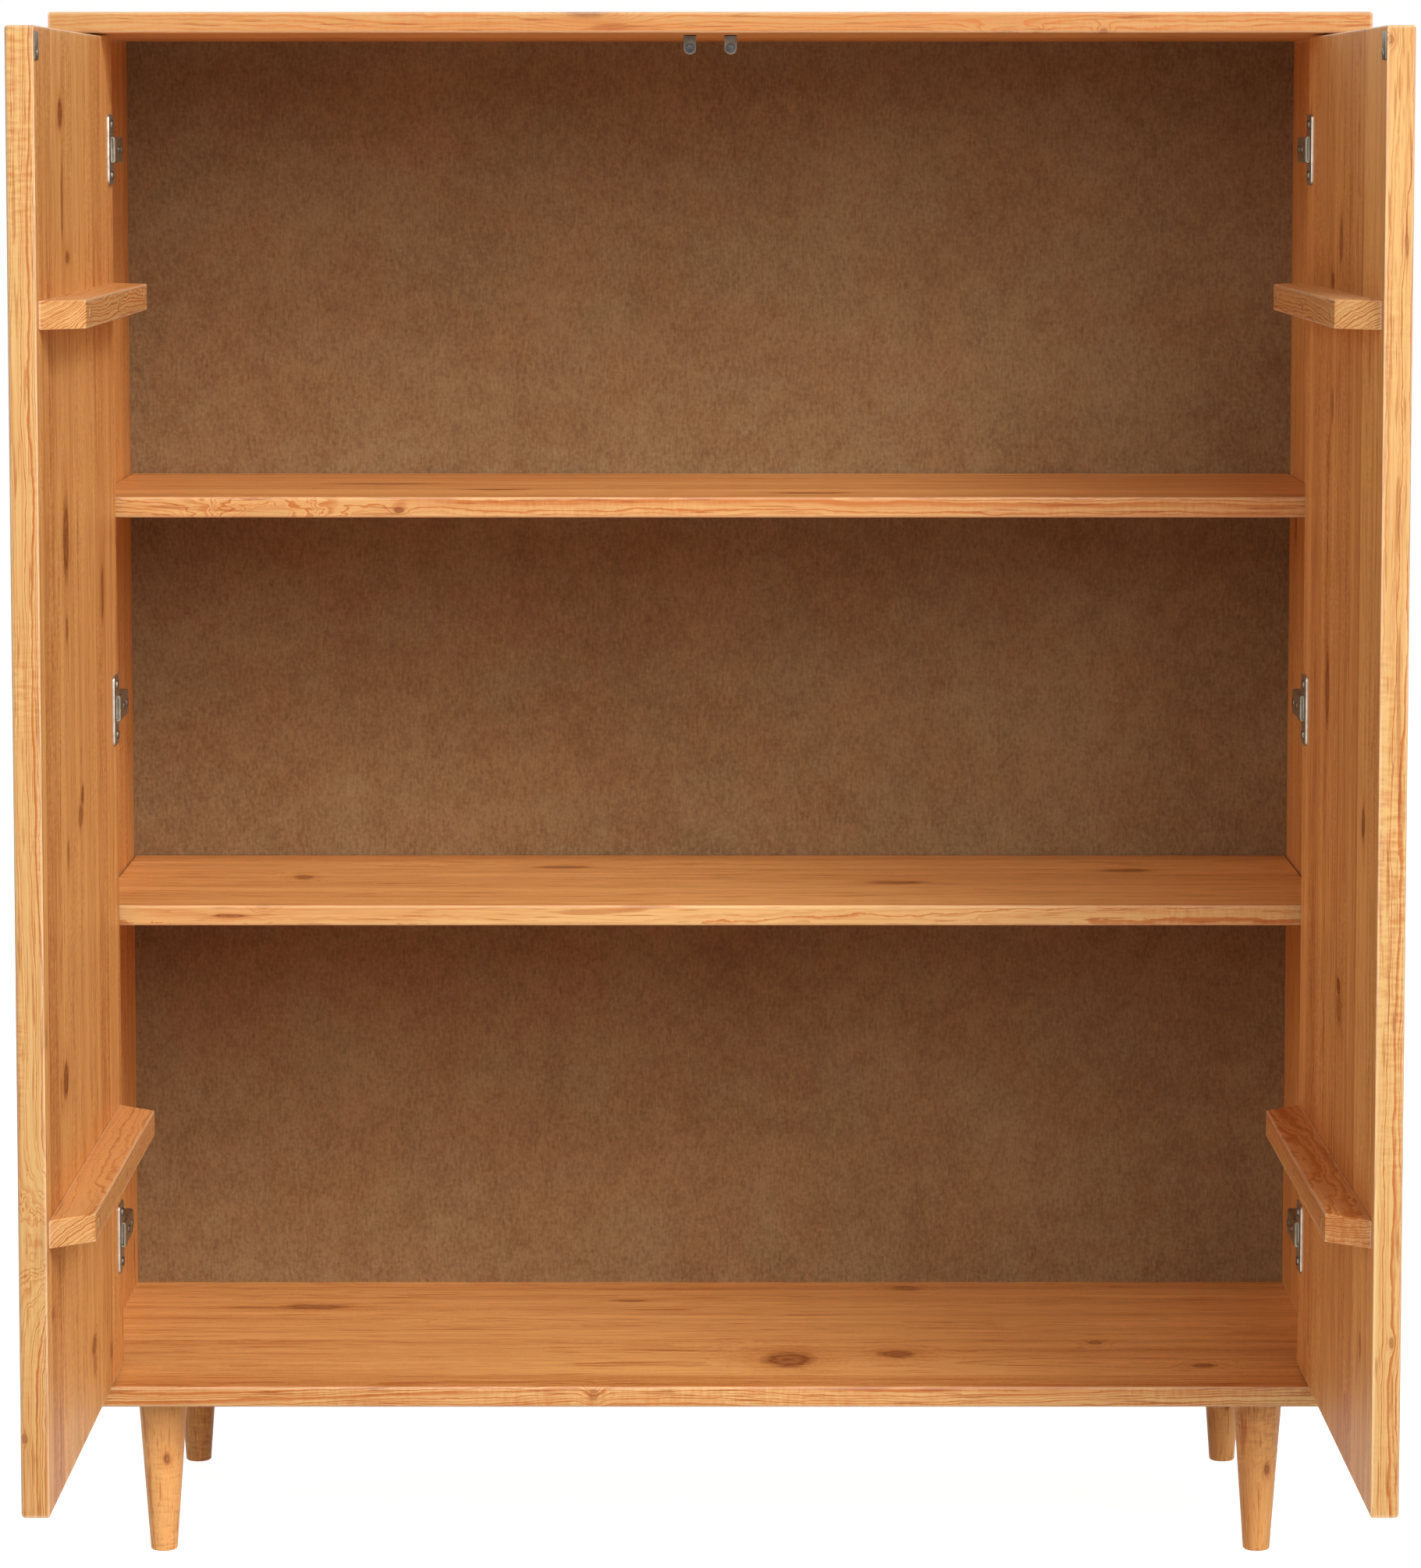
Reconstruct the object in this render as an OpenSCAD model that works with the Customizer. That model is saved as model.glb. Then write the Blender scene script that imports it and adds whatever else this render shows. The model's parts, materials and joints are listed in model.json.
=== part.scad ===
// Highboard in solid wood: a carcass on four turned legs, two shelves behind two inset doors.
// Millimetres, +Z up. The origin lies on the floor, in the middle of the footprint that the
// highboard has with both doors standing open at a right angle, as they are drawn here.
// The carcass is drawn from its own front plane: X from the middle, Y to the back, Z from the floor.

/* [Carcass] */
// Overall width, across the top board
body_w = 1000; // [800:10:1200]
// Depth from the front edge of the top board to its rear edge
body_d = 400; // [340:10:480]
// Overall height, from the floor to the top face
body_h = 1198; // [1100:2:1400]
// Thickness of the top board and of the bottom board
board_t = 16; // [14:1:22]
// Thickness of a side panel
side_t = 18; // [16:1:24]
// Radius of the eased edges of the boards
edge_r = 2.5; // [1:0.5:4]
// Thickness of the back panel
back_t = 3; // [3:0.5:6]
// Distance from the rear edge of the boards to the back panel
back_inset = 16.5; // [10:0.5:30]
// Depth of the groove that holds the back panel
groove_d = 6; // [4:0.5:8]

/* [Shelves] */
// Thickness of a shelf
shelf_t = 16; // [14:1:22]
// Height of the lower shelf's top face above the floor
lower_shelf_top = 505; // [480:1:560]
// Height of the upper shelf's top face above the floor
upper_shelf_top = 825; // [760:1:880]
// Distance from the closed doors to the front edge of a shelf
shelf_setback = 9; // [6:1:40]
// Gap at each end of a shelf and behind it
shelf_gap = 1; // [0.5:0.25:2]
// Diameter of a shelf pin
shelf_pin_dia = 5; // [4:0.5:8]
// Length of a shelf pin inside the side panel
shelf_pin_in = 10; // [8:1:13]
// Length of a shelf pin below the shelf
shelf_pin_out = 9; // [7:1:14]
// Distance from the front or rear edge of a shelf to its pin
shelf_pin_inset = 40; // [25:1:70]

/* [Doors] */
// Thickness of a door panel
door_t = 20; // [18:0.5:24]
// Distance from the carcass front to the front face of a closed door
door_recess = 56; // [40:1:80]
// Gap between the two closed doors
door_mid_gap = 2; // [1.5:0.5:5]
// Gap above and below a door
door_end_gap = 2; // [1:0.5:4]
// Radius of the outer edges of a door
door_edge_r = 3; // [1:0.5:4]
// Radius of the inner edges of a door
door_inner_r = 1; // [0.5:0.5:2]
// Radius of the outer edge that turns past the side panel
hinge_edge_r = 4; // [3:0.5:6]

/* [Cleats] */
// Height of a cleat
cleat_h = 20; // [15:1:40]
// Distance that a cleat stands off the door
cleat_d = 30; // [20:1:40]
// Length that the bevel at each end of a cleat takes
cleat_bevel = 25; // [5:1:40]
// Distance from the free edge of the door to the cleat
cleat_free = 11; // [5:1:40]
// Distance from the hinge edge of the door to the cleat
cleat_hinge = 15.5; // [12:0.5:60]
// Distance from the top or bottom of the door to the nearer cleat
cleat_from_end = 188; // [150:1:230]
// Distance from the middle of a cleat to each outer screw
cleat_screw_span = 178; // [120:1:185]
// Diameter of the wooden plug over a cleat screw
plug_dia = 8; // [7:0.5:10]
// Depth of the wooden plug
plug_len = 6; // [4:0.5:10]

/* [Hinges] */
// Distance from the hinge pin to the hinge edge of the door
pin_to_edge = 7.9; // [7.5:0.1:9]
// Depth of the hinge pin below the inner face of the door
pin_depth = 8.8; // [8:0.1:10]
// Diameter of the hinge pin
hinge_pin_dia = 3; // [2.5:0.25:3.5]
// Distance from the top of the door to the middle of the upper hinge
upper_hinge_drop = 86; // [60:1:120]
// Distance from the bottom of the door to the middle of the lower hinge
lower_hinge_rise = 104; // [60:1:150]
// Height of the cup's flange on the door
flange_h = 54; // [48:1:60]
// Width of the cup's flange on the door
flange_w = 30.7; // [28:0.1:40]
// Distance from the hinge edge of the door to the flange
flange_edge = 2; // [1:0.5:3]
// Thickness of the flange
flange_t = 1.5; // [1:0.25:2]
// Radius of the flange's corners
flange_r = 4; // [2:0.5:6]
// Wall of the cup that is let into the door
cup_wall = 1; // [0.75:0.25:1.5]
// Height of the hinge arm
arm_h = 20; // [16:0.5:24]
// Sheet thickness of the hinge arm
arm_t = 1.5; // [1:0.25:2]
// Radius of the eye at the end of the arm
eye_r = 2.6; // [2.4:0.1:3]
// Length of the arm behind the hinge pin
arm_len = 52; // [46:1:70]
// Thickness of the mounting plate under the arm
base_t = 2.5; // [2:0.5:4]
// Length of the mounting plate
base_len = 32; // [28:1:34]
// Height of the mounting plate across its wings
base_h = 48; // [44:1:60]
// Width of a wing of the mounting plate
wing_w = 14; // [10:1:20]
// Height of the rail that the arm sits over
rail_h = 6.5; // [5:0.5:8]
// Distance between the two screws of a mounting plate
base_screw_pitch = 32; // [30:1:36]
// Distance between the two screws of a flange
flange_screw_pitch = 39; // [36:1:44]

/* [Catches] */
// Distance from the middle of the carcass to a magnet
catch_x = 15.7; // [12:0.1:30]
// Distance from the top board down to the magnet's middle
catch_drop = 10.2; // [9:0.1:14]
// Width of the catch bracket
catch_w = 9.6; // [9:0.1:14]
// Length of the bracket's foot under the top board
catch_foot = 20; // [16:1:30]
// Sheet thickness of the catch bracket
catch_t = 1.5; // [1:0.25:2.5]
// Diameter of the magnet
magnet_dia = 7; // [5:0.5:8]
// Distance that the magnet stands out of its bracket
magnet_proud = 1; // [0.5:0.25:2]
// Width of the strike plate
strike_w = 18; // [16:1:24]
// Height of the strike plate
strike_h = 19.5; // [16:0.5:24]
// Thickness of the strike plate
strike_t = 1; // [0.75:0.25:2]
// Distance that the strike plate's middle lies nearer the door's free edge than the magnet
strike_shift = 4; // [2:0.5:6]
// Distance that the strike plate's middle lies below the magnet's
strike_drop = 5.5; // [3:0.5:7]

/* [Legs] */
// Height from the floor to the bottom board
leg_h = 126; // [60:2:200]
// Diameter of a leg at its top
leg_top_dia = 38.5; // [30:0.5:42]
// Diameter of a leg at the floor
leg_foot_dia = 20.8; // [16:0.2:36]
// Chamfer at the foot of a leg
leg_chamfer = 0.8; // [0.4:0.2:2]
// Distance from the end of the bottom board to the middle of a leg
leg_inset_x = 71.5; // [50:0.5:120]
// Distance from the front or rear edge of the bottom board to the middle of a leg
leg_inset_y = 57.5; // [40:0.5:80]
// Side of the square plate that holds a leg
leg_plate_w = 60; // [56:1:76]
// Thickness of that plate
leg_plate_t = 2.5; // [2:0.5:4]
// Distance from the middle of the plate to its screws, along X and along Y
leg_screw_offset = 23; // [22:0.5:26]
// Diameter of the bolt in a leg
leg_bolt_dia = 8; // [6:1:10]
// Length of that bolt inside the leg
leg_bolt_in = 30; // [20:1:50]
// Length of that bolt inside the bottom board
leg_bolt_up = 9; // [6:0.5:11]

/* [Fasteners] */
// Shank diameter of a wood screw
screw_dia = 4; // [3:0.25:5]
// Head diameter of a wood screw
screw_head_dia = 7; // [6:0.5:8]
// Head height of a wood screw
screw_head_h = 1.6; // [1:0.2:3]
// Length of a wood screw inside the wood that it holds in
screw_bite = 12; // [8:0.5:13]
// Shank diameter of a catch screw
small_screw_dia = 3; // [2:0.25:4]
// Head diameter of a catch screw
small_head_dia = 5.5; // [5:0.5:7]
// Head height of a catch screw
small_head_h = 1.2; // [0.8:0.1:1.4]
// Diameter of a dowel
dowel_dia = 8; // [6:0.5:10]
// Length of a dowel inside the side panel
dowel_in_side = 20; // [12:1:40]
// Length of a dowel inside the top or bottom board
dowel_in_board = 10; // [6:0.5:11]
// Distance from the front or rear edge to the nearest dowel
dowel_inset = 50; // [35:1:120]

/* [Clearances] */
// Gap between the turning edge of a door and the side panel
swing_gap = 0.2; // [0.1:0.1:2]
// Gap between the arm and the moving cup
arm_gap = 0.5; // [0.4:0.1:0.8]
// Radial gap round a pin, screw or dowel in its hole
fit_gap = 0.05; // [0.02:0.01:0.1]
// Gap round a piece that is let into wood
seat_gap = 0.1; // [0.05:0.05:0.2]
// Gap between a magnet and the strike plate of a closed door
catch_gap = 0.3; // [0.2:0.1:1]
// Free depth past the end of a pin, screw or dowel
end_gap = 1; // [0.5:0.25:2]

/* [Hidden] */

// Sides of a circle on the small round pieces and on the legs
fine = 32;
round_fine = 64;
// Length by which a cut runs past a face
cut = 1;

honey = "#c98a4b";
honey_light = "#d9a05f";
honey_deep = "#b5713a";
back_brown = "#4b2a1c";
plug_brown = "#9a6a3c";
steel = "#b9b7b0";
steel_dark = "#77746c";
magnet_grey = "#8d8a86";

// Heights and planes of the carcass
floor_top = leg_h + board_t;
ceiling = body_h - board_t;
inner_half = body_w / 2 - side_t;
back_front = body_d - back_inset - back_t;
shelf_front = door_recess + door_t + shelf_setback;
shelf_rear = back_front - shelf_gap;

// A door turns about its hinge pins. Its frame has its origin on the pin axis, X along the
// door to its free edge and Y from its outer face to its inner face.
pin_from_face = door_t - pin_depth;
swing_r = norm([pin_to_edge - hinge_edge_r, pin_from_face - hinge_edge_r]) + hinge_edge_r;
pin_to_side = swing_r + swing_gap;
pivot_x = inner_half - pin_to_side;
pivot_y = door_recess + pin_from_face;
door_w = pivot_x + pin_to_edge - door_mid_gap / 2;
door_bottom = floor_top + door_end_gap;
door_h = ceiling - door_end_gap - door_bottom;
free_x = door_w - pin_to_edge;
rest_angle = 90;

// How far the open doors stand out in front of the carcass
door_reach = free_x - pivot_y;
front_y = (door_reach - body_d) / 2;

upper_hinge_z = door_bottom + door_h - upper_hinge_drop;
middle_hinge_z = door_bottom + door_h / 2;
lower_hinge_z = door_bottom + lower_hinge_rise;
hinge_zs = [upper_hinge_z, middle_hinge_z, lower_hinge_z];

upper_cleat_z = door_bottom + door_h - cleat_from_end - cleat_h;
lower_cleat_z = door_bottom + cleat_from_end;
cleat_x0 = cleat_hinge - pin_to_edge;
cleat_x1 = free_x - cleat_free;
cleat_mid = (cleat_x0 + cleat_x1) / 2;
cleat_screw_xs = [cleat_mid - cleat_screw_span, cleat_mid, cleat_mid + cleat_screw_span];

// The hinge, seen from the pin: the arm's strip passes just clear of the open door's flange
strip_x = pin_depth + flange_t + arm_gap;
arm_back_x = base_t - pin_to_side;
sweep_r = max(norm([pin_to_edge, pin_depth]),
              norm([pin_to_edge - flange_edge, pin_depth + flange_t]));
channel_y = sweep_r + 1;
cup_x0 = -eye_r - arm_gap;
cup_x1 = strip_x + arm_t + arm_gap;
cup_floor = -eye_r - arm_gap;
cup_half_h = arm_h / 2 + arm_gap;
base_y = arm_len - base_len - 2;
rail_half_h = arm_h / 2 - arm_t - fit_gap;
rivet_x = arm_back_x + rail_h / 2;
rivet_y = base_y + base_len / 2;
cup_screw_x = flange_edge - pin_to_edge + flange_w / 2;

// The catch and what it meets on the door
magnet_z = ceiling - catch_drop;
magnet_front = door_recess + door_t + strike_t + catch_gap;
tab_front = magnet_front + magnet_proud;
catch_screw_y = tab_front + catch_t + (catch_foot - catch_t) / 2;
strike_x = free_x + door_mid_gap / 2 - catch_x + strike_shift;
strike_z = magnet_z - strike_drop;
strike_screw_z = strike_z - strike_h / 4;

leg_x = body_w / 2 - leg_inset_x;
leg_y = body_d / 2 - leg_inset_y;
leg_top = leg_h - leg_plate_t;
dowel_ys = [dowel_inset, body_d / 2, body_d - dowel_inset];

// Placing: the carcass in the part's frame, and each side with its mirror image
module carcass() translate([0, front_y, 0]) children();
module right() mirror([1, 0, 0]) children();
module at_pivot() carcass() translate([-pivot_x, pivot_y, 0]) children();
module open_door() at_pivot() rotate([0, 0, -rest_angle]) children();
module each_side() { children(); right() children(); }

// A rectangle with its lower corners rounded by one radius and its upper corners by another
module soft_rect(w, h, low_r, high_r) {
    translate([0, low_r]) square([w, h - low_r - high_r]);
    translate([low_r, 0]) square([w - 2 * low_r, low_r]);
    translate([high_r, h - high_r]) square([w - 2 * high_r, high_r]);
    for (x = [low_r, w - low_r]) translate([x, low_r]) circle(r = low_r, $fn = fine);
    for (x = [high_r, w - high_r]) translate([x, h - high_r]) circle(r = high_r, $fn = fine);
}

// A board with eased edges all round, centred on X, with its front edge at y = 0 and its
// underside at z = 0
module eased_board(w, d, t) {
    intersection() {
        translate([-w / 2, d, 0]) rotate([90, 0, 0]) linear_extrude(d) soft_rect(w, t, edge_r, edge_r);
        translate([-w / 2, 0, 0]) rotate([90, 0, 90]) linear_extrude(w) soft_rect(d, t, edge_r, edge_r);
    }
}

// A hole along Z with the clearance of a fitted pin, from z0 to z1
module pin_hole(dia, z0, z1) {
    translate([0, 0, z0]) cylinder(d = dia + 2 * fit_gap, h = z1 - z0, $fn = fine);
}

// A screw that points down: its head stands on z = 0 and its shank reaches to -len
module pan_screw(dia, head_dia, head_h, len) {
    translate([0, 0, -len]) cylinder(d = dia, h = len + head_h / 2, $fn = fine);
    cylinder(d = head_dia, h = head_h, $fn = fine);
}

// Turns a shape that points down so that it points along +Y or along -X
module facing_back() rotate([90, 0, 0]) children();
module facing_side() rotate([0, 90, 0]) children();

module dowel_holes(z0, z1) {
    for (x = [-1, 1], y = dowel_ys)
        translate([x * (inner_half + side_t / 2), y, 0]) pin_hole(dowel_dia, z0, z1);
}

module back_groove() {
    translate([-inner_half - groove_d, back_front - seat_gap, floor_top - groove_d])
        cube([2 * (inner_half + groove_d), back_t + 2 * seat_gap, ceiling - floor_top + 2 * groove_d]);
}

module top_board() {
    color(honey_light) carcass() difference() {
        translate([0, 0, ceiling]) eased_board(body_w, body_d, board_t);
        back_groove();
        dowel_holes(ceiling - cut, ceiling + dowel_in_board + end_gap);
        for (x = [-catch_x, catch_x])
            translate([x, catch_screw_y, 0])
                pin_hole(small_screw_dia, ceiling - cut, ceiling + screw_bite + end_gap);
    }
}

module bottom_board() {
    color(honey_light) carcass() difference() {
        translate([0, 0, leg_h]) eased_board(body_w, body_d, board_t);
        back_groove();
        dowel_holes(floor_top - dowel_in_board - end_gap, floor_top + cut);
        each_leg() {
            pin_hole(leg_bolt_dia, leg_h - cut, leg_h + leg_bolt_up + end_gap);
            each_leg_screw() pin_hole(screw_dia, leg_h - cut, leg_h + screw_bite + end_gap);
        }
    }
}

module left_side_panel() {
    color(honey) carcass() difference() {
        translate([-inner_half - side_t, 0, floor_top]) linear_extrude(ceiling - floor_top)
            translate([side_t, 0]) rotate(90) soft_rect(body_d, side_t, edge_r, edge_r);
        back_groove();
        dowel_holes(floor_top - cut, floor_top + dowel_in_side + end_gap);
        dowel_holes(ceiling - dowel_in_side - end_gap, ceiling + cut);
        each_shelf_pin() facing_side()
            pin_hole(shelf_pin_dia, -shelf_pin_in - end_gap, cut);
        translate([-pivot_x, pivot_y, 0]) each_base_screw()
            pin_hole(screw_dia, -screw_bite - end_gap, cut);
    }
}

module right_side_panel() right() left_side_panel();

module back_panel() {
    w = 2 * (inner_half + groove_d - seat_gap);
    h = ceiling - floor_top + 2 * (groove_d - seat_gap);
    color(back_brown) carcass()
        translate([-w / 2, back_front, floor_top - groove_d + seat_gap]) cube([w, back_t, h]);
}

module shelf(top) {
    color(honey_light) carcass() translate([0, shelf_front, top - shelf_t])
        eased_board(2 * (inner_half - shelf_gap), shelf_rear - shelf_front, shelf_t);
}

module upper_shelf() shelf(upper_shelf_top);
module lower_shelf() shelf(lower_shelf_top);

// The pins of the left side panel, each with its origin on the panel's inner face
module each_shelf_pin() {
    for (top = [lower_shelf_top, upper_shelf_top],
         y = [shelf_front + shelf_pin_inset, shelf_rear - shelf_pin_inset])
        translate([-inner_half, y, top - shelf_t - shelf_pin_dia / 2]) children();
}

module shelf_pins() {
    color(steel) carcass() each_side() each_shelf_pin() facing_side()
        translate([0, 0, -shelf_pin_in])
            cylinder(d = shelf_pin_dia, h = shelf_pin_in + shelf_pin_out, $fn = fine);
}

module carcass_dowels() {
    color(honey_light) carcass()
        for (x = [-1, 1], y = dowel_ys, z = [floor_top - dowel_in_board, ceiling - dowel_in_side])
            translate([x * (inner_half + side_t / 2), y, z])
                cylinder(d = dowel_dia, h = dowel_in_side + dowel_in_board, $fn = fine);
}

// The legs: turned cones, each on a steel plate under the bottom board
module each_leg() {
    for (x = [-leg_x, leg_x], y = [-leg_y, leg_y])
        translate([x, body_d / 2 + y, 0]) children();
}

module each_leg_screw() {
    for (x = [-1, 1], y = [-1, 1])
        translate([x * leg_screw_offset, y * leg_screw_offset, 0]) children();
}

module leg(x, y) {
    top_r = leg_top_dia / 2;
    foot_r = leg_foot_dia / 2;
    color(honey) carcass() translate([x, body_d / 2 + y, 0]) difference() {
        rotate_extrude($fn = round_fine) polygon([
            [0, 0], [foot_r - leg_chamfer, 0], [foot_r, leg_chamfer], [top_r, leg_top], [0, leg_top]
        ]);
        pin_hole(leg_bolt_dia, leg_top - leg_bolt_in - end_gap, leg_top + cut);
    }
}

module front_left_leg() leg(-leg_x, -leg_y);
module front_right_leg() leg(leg_x, -leg_y);
module rear_left_leg() leg(-leg_x, leg_y);
module rear_right_leg() leg(leg_x, leg_y);

module leg_plates() {
    color(steel) carcass() each_leg() difference() {
        translate([-leg_plate_w / 2, -leg_plate_w / 2, leg_top]) linear_extrude(leg_plate_t)
            soft_rect(leg_plate_w, leg_plate_w, edge_r, edge_r);
        pin_hole(leg_bolt_dia, leg_top - cut, leg_h + cut);
        each_leg_screw() pin_hole(screw_dia, leg_top - cut, leg_h + cut);
    }
}

module leg_bolts() {
    color(steel_dark) carcass() each_leg() translate([0, 0, leg_top - leg_bolt_in])
        cylinder(d = leg_bolt_dia, h = leg_bolt_in + leg_plate_t + leg_bolt_up, $fn = fine);
}

module leg_plate_screws() {
    color(steel_dark) carcass() each_leg() each_leg_screw() translate([0, 0, leg_top])
        rotate([180, 0, 0]) pan_screw(screw_dia, screw_head_dia, screw_head_h, leg_plate_t + screw_bite);
}

// The catches: a bracket with a rounded tab that holds a magnet, just behind the closed door
module left_catch_bracket() {
    color(steel) carcass() difference() {
        translate([-catch_x, tab_front, ceiling]) {
            facing_back() mirror([0, 0, 1]) linear_extrude(catch_t) {
                translate([-catch_w / 2, -catch_drop]) square([catch_w, catch_drop]);
                translate([0, -catch_drop]) circle(d = catch_w, $fn = fine);
            }
            translate([-catch_w / 2, 0, -catch_t]) cube([catch_w, catch_foot, catch_t]);
        }
        translate([-catch_x, tab_front, magnet_z]) facing_back()
            pin_hole(magnet_dia, -catch_t - cut, cut);
        translate([-catch_x, catch_screw_y, 0])
            pin_hole(small_screw_dia, ceiling - catch_t - cut, ceiling + cut);
    }
}

module right_catch_bracket() right() left_catch_bracket();

module catch_magnets() {
    color(magnet_grey) carcass() each_side() translate([-catch_x, magnet_front, magnet_z])
        facing_back() translate([0, 0, -magnet_proud - catch_t])
            cylinder(d = magnet_dia, h = magnet_proud + catch_t, $fn = fine);
}

module catch_screws() {
    color(steel_dark) carcass() each_side()
        translate([-catch_x, catch_screw_y, ceiling - catch_t]) rotate([180, 0, 0])
            pan_screw(small_screw_dia, small_head_dia, small_head_h, catch_t + screw_bite);
}

// The hinges. What is fixed to the side panel is drawn from the pin: X away from the side
// panel, Y to the back, Z from the middle of the hinge.
module each_base_screw(zs = hinge_zs) {
    for (z = zs, s = [-1, 1])
        translate([-pin_to_side, rivet_y, z + s * base_screw_pitch / 2]) facing_side() children();
}

module hinge_base(z) {
    color(steel) at_pivot() difference() {
        translate([0, 0, z]) {
            translate([-pin_to_side, base_y, -arm_h / 2]) cube([base_t, base_len, arm_h]);
            translate([-pin_to_side, rivet_y - wing_w / 2, -base_h / 2])
                cube([base_t, wing_w, base_h]);
            translate([-pin_to_side, base_y, -rail_half_h])
                cube([base_t + rail_h, base_len, 2 * rail_half_h]);
        }
        each_base_screw([z]) pin_hole(screw_dia, -cut, base_t + rail_h + cut);
        translate([rivet_x, rivet_y, z])
            pin_hole(hinge_pin_dia, -arm_h / 2, arm_h / 2);
    }
}

// The side view of the arm's cheek: an eye, a neck that reaches out of the cup, a strip that
// passes the edge of the open door, and the channel that sits over the rail
module arm_strip() {
    translate([strip_x, -eye_r]) square([arm_t, arm_len + eye_r]);
}

module arm_neck() {
    circle(r = eye_r, $fn = fine);
    translate([0, -eye_r]) square([strip_x + arm_t, 2 * eye_r]);
}

module arm_channel() {
    polygon([
        [strip_x + arm_t, channel_y], [0, channel_y], [arm_back_x, base_y],
        [arm_back_x, arm_len], [strip_x + arm_t, arm_len]
    ]);
}

module arm_cheek() {
    linear_extrude(arm_t) arm_neck();
    linear_extrude(arm_t) arm_channel();
}

module hinge_arm(z) {
    color(steel) at_pivot() translate([0, 0, z]) difference() {
        union() {
            translate([0, 0, -arm_h / 2]) linear_extrude(arm_h) arm_strip();
            for (z0 = [-arm_h / 2, arm_h / 2 - arm_t]) translate([0, 0, z0]) arm_cheek();
        }
        pin_hole(hinge_pin_dia, -arm_h / 2 - cut, arm_h / 2 + cut);
        translate([rivet_x, rivet_y, 0]) pin_hole(hinge_pin_dia, -arm_h / 2 - cut, arm_h / 2 + cut);
    }
}

module left_upper_hinge_base() hinge_base(upper_hinge_z);
module left_middle_hinge_base() hinge_base(middle_hinge_z);
module left_lower_hinge_base() hinge_base(lower_hinge_z);
module right_upper_hinge_base() right() hinge_base(upper_hinge_z);
module right_middle_hinge_base() right() hinge_base(middle_hinge_z);
module right_lower_hinge_base() right() hinge_base(lower_hinge_z);
module left_upper_hinge_arm() hinge_arm(upper_hinge_z);
module left_middle_hinge_arm() hinge_arm(middle_hinge_z);
module left_lower_hinge_arm() hinge_arm(lower_hinge_z);
module right_upper_hinge_arm() right() hinge_arm(upper_hinge_z);
module right_middle_hinge_arm() right() hinge_arm(middle_hinge_z);
module right_lower_hinge_arm() right() hinge_arm(lower_hinge_z);

module hinge_base_screws() {
    color(steel_dark) each_side() at_pivot() each_base_screw() translate([0, 0, base_t])
        pan_screw(screw_dia, screw_head_dia, screw_head_h, base_t + screw_bite);
}

module hinge_arm_rivets() {
    color(steel_dark) each_side() at_pivot() for (z = hinge_zs)
        translate([rivet_x, rivet_y, z - arm_h / 2])
            cylinder(d = hinge_pin_dia, h = arm_h, $fn = fine);
}

// The doors, drawn in the door frame and stood open
module cup_outline(gap, r) {
    w = cup_x1 - cup_x0 + 2 * gap;
    h = 2 * (cup_half_h + gap);
    translate([cup_x0 - gap, -h / 2]) soft_rect(w, h, r, r);
}

// A shape in the face of the door, X along the door and Y up it, from depth y0 to y1
module into_door(z, y0, y1) {
    translate([0, y1, z]) facing_back() linear_extrude(y1 - y0) children();
}

module each_cup_screw(zs = hinge_zs) {
    for (z = zs, s = [-1, 1])
        translate([cup_screw_x, pin_depth, z + s * flange_screw_pitch / 2]) children();
}

module each_cleat_screw() {
    for (x = cleat_screw_xs, z = [upper_cleat_z, lower_cleat_z])
        translate([x, pin_depth, z + cleat_h / 2]) children();
}

module door_solid() {
    intersection() {
        translate([-pin_to_edge, -pin_from_face, door_bottom]) linear_extrude(door_h) {
            translate([door_w / 2, 0]) soft_rect(door_w / 2, door_t, door_edge_r, door_inner_r);
            soft_rect(door_w - 2 * door_edge_r, door_t, hinge_edge_r, door_inner_r);
        }
        translate([-pin_to_edge, -pin_from_face, door_bottom]) rotate([90, 0, 90])
            linear_extrude(door_w) rotate(90) mirror([0, 1, 0])
                soft_rect(door_h, door_t, door_edge_r, door_inner_r);
    }
}

module left_door_panel() {
    bite = screw_bite;
    color(honey) open_door() difference() {
        door_solid();
        for (z = hinge_zs) into_door(z, cup_floor - cup_wall - seat_gap, pin_depth + cut)
            cup_outline(cup_wall + seat_gap, 2 * cup_wall);
        each_cup_screw() rotate([-90, 0, 0]) pin_hole(screw_dia, -bite - end_gap, cut);
        each_cleat_screw() rotate([-90, 0, 0]) pin_hole(screw_dia, -bite - end_gap, cut);
        translate([strike_x, pin_depth, strike_screw_z]) rotate([-90, 0, 0])
            pin_hole(small_screw_dia, -bite - end_gap, cut);
    }
}

module left_cleat(z) {
    color(honey_light) open_door() difference() {
        translate([0, pin_depth, z]) linear_extrude(cleat_h) polygon([
            [cleat_x0, 0], [cleat_x1, 0],
            [cleat_x1 - cleat_bevel, cleat_d], [cleat_x0 + cleat_bevel, cleat_d]
        ]);
        each_cleat_screw() rotate([-90, 0, 0]) {
            pin_hole(screw_dia, -cut, cleat_d + cut);
            pin_hole(plug_dia, cleat_d - plug_len - screw_head_h - fit_gap, cleat_d + cut);
        }
    }
}

module left_upper_cleat() left_cleat(upper_cleat_z);
module left_lower_cleat() left_cleat(lower_cleat_z);

module left_cleat_screws() {
    head_z = cleat_d - plug_len - screw_head_h - fit_gap;
    color(steel_dark) open_door() each_cleat_screw() rotate([-90, 0, 0]) translate([0, 0, head_z])
        pan_screw(screw_dia, screw_head_dia, screw_head_h, head_z + screw_bite);
}

module left_cleat_plugs() {
    color(plug_brown) open_door() each_cleat_screw() rotate([-90, 0, 0])
        translate([0, 0, cleat_d - plug_len]) cylinder(d = plug_dia, h = plug_len, $fn = fine);
}

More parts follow.
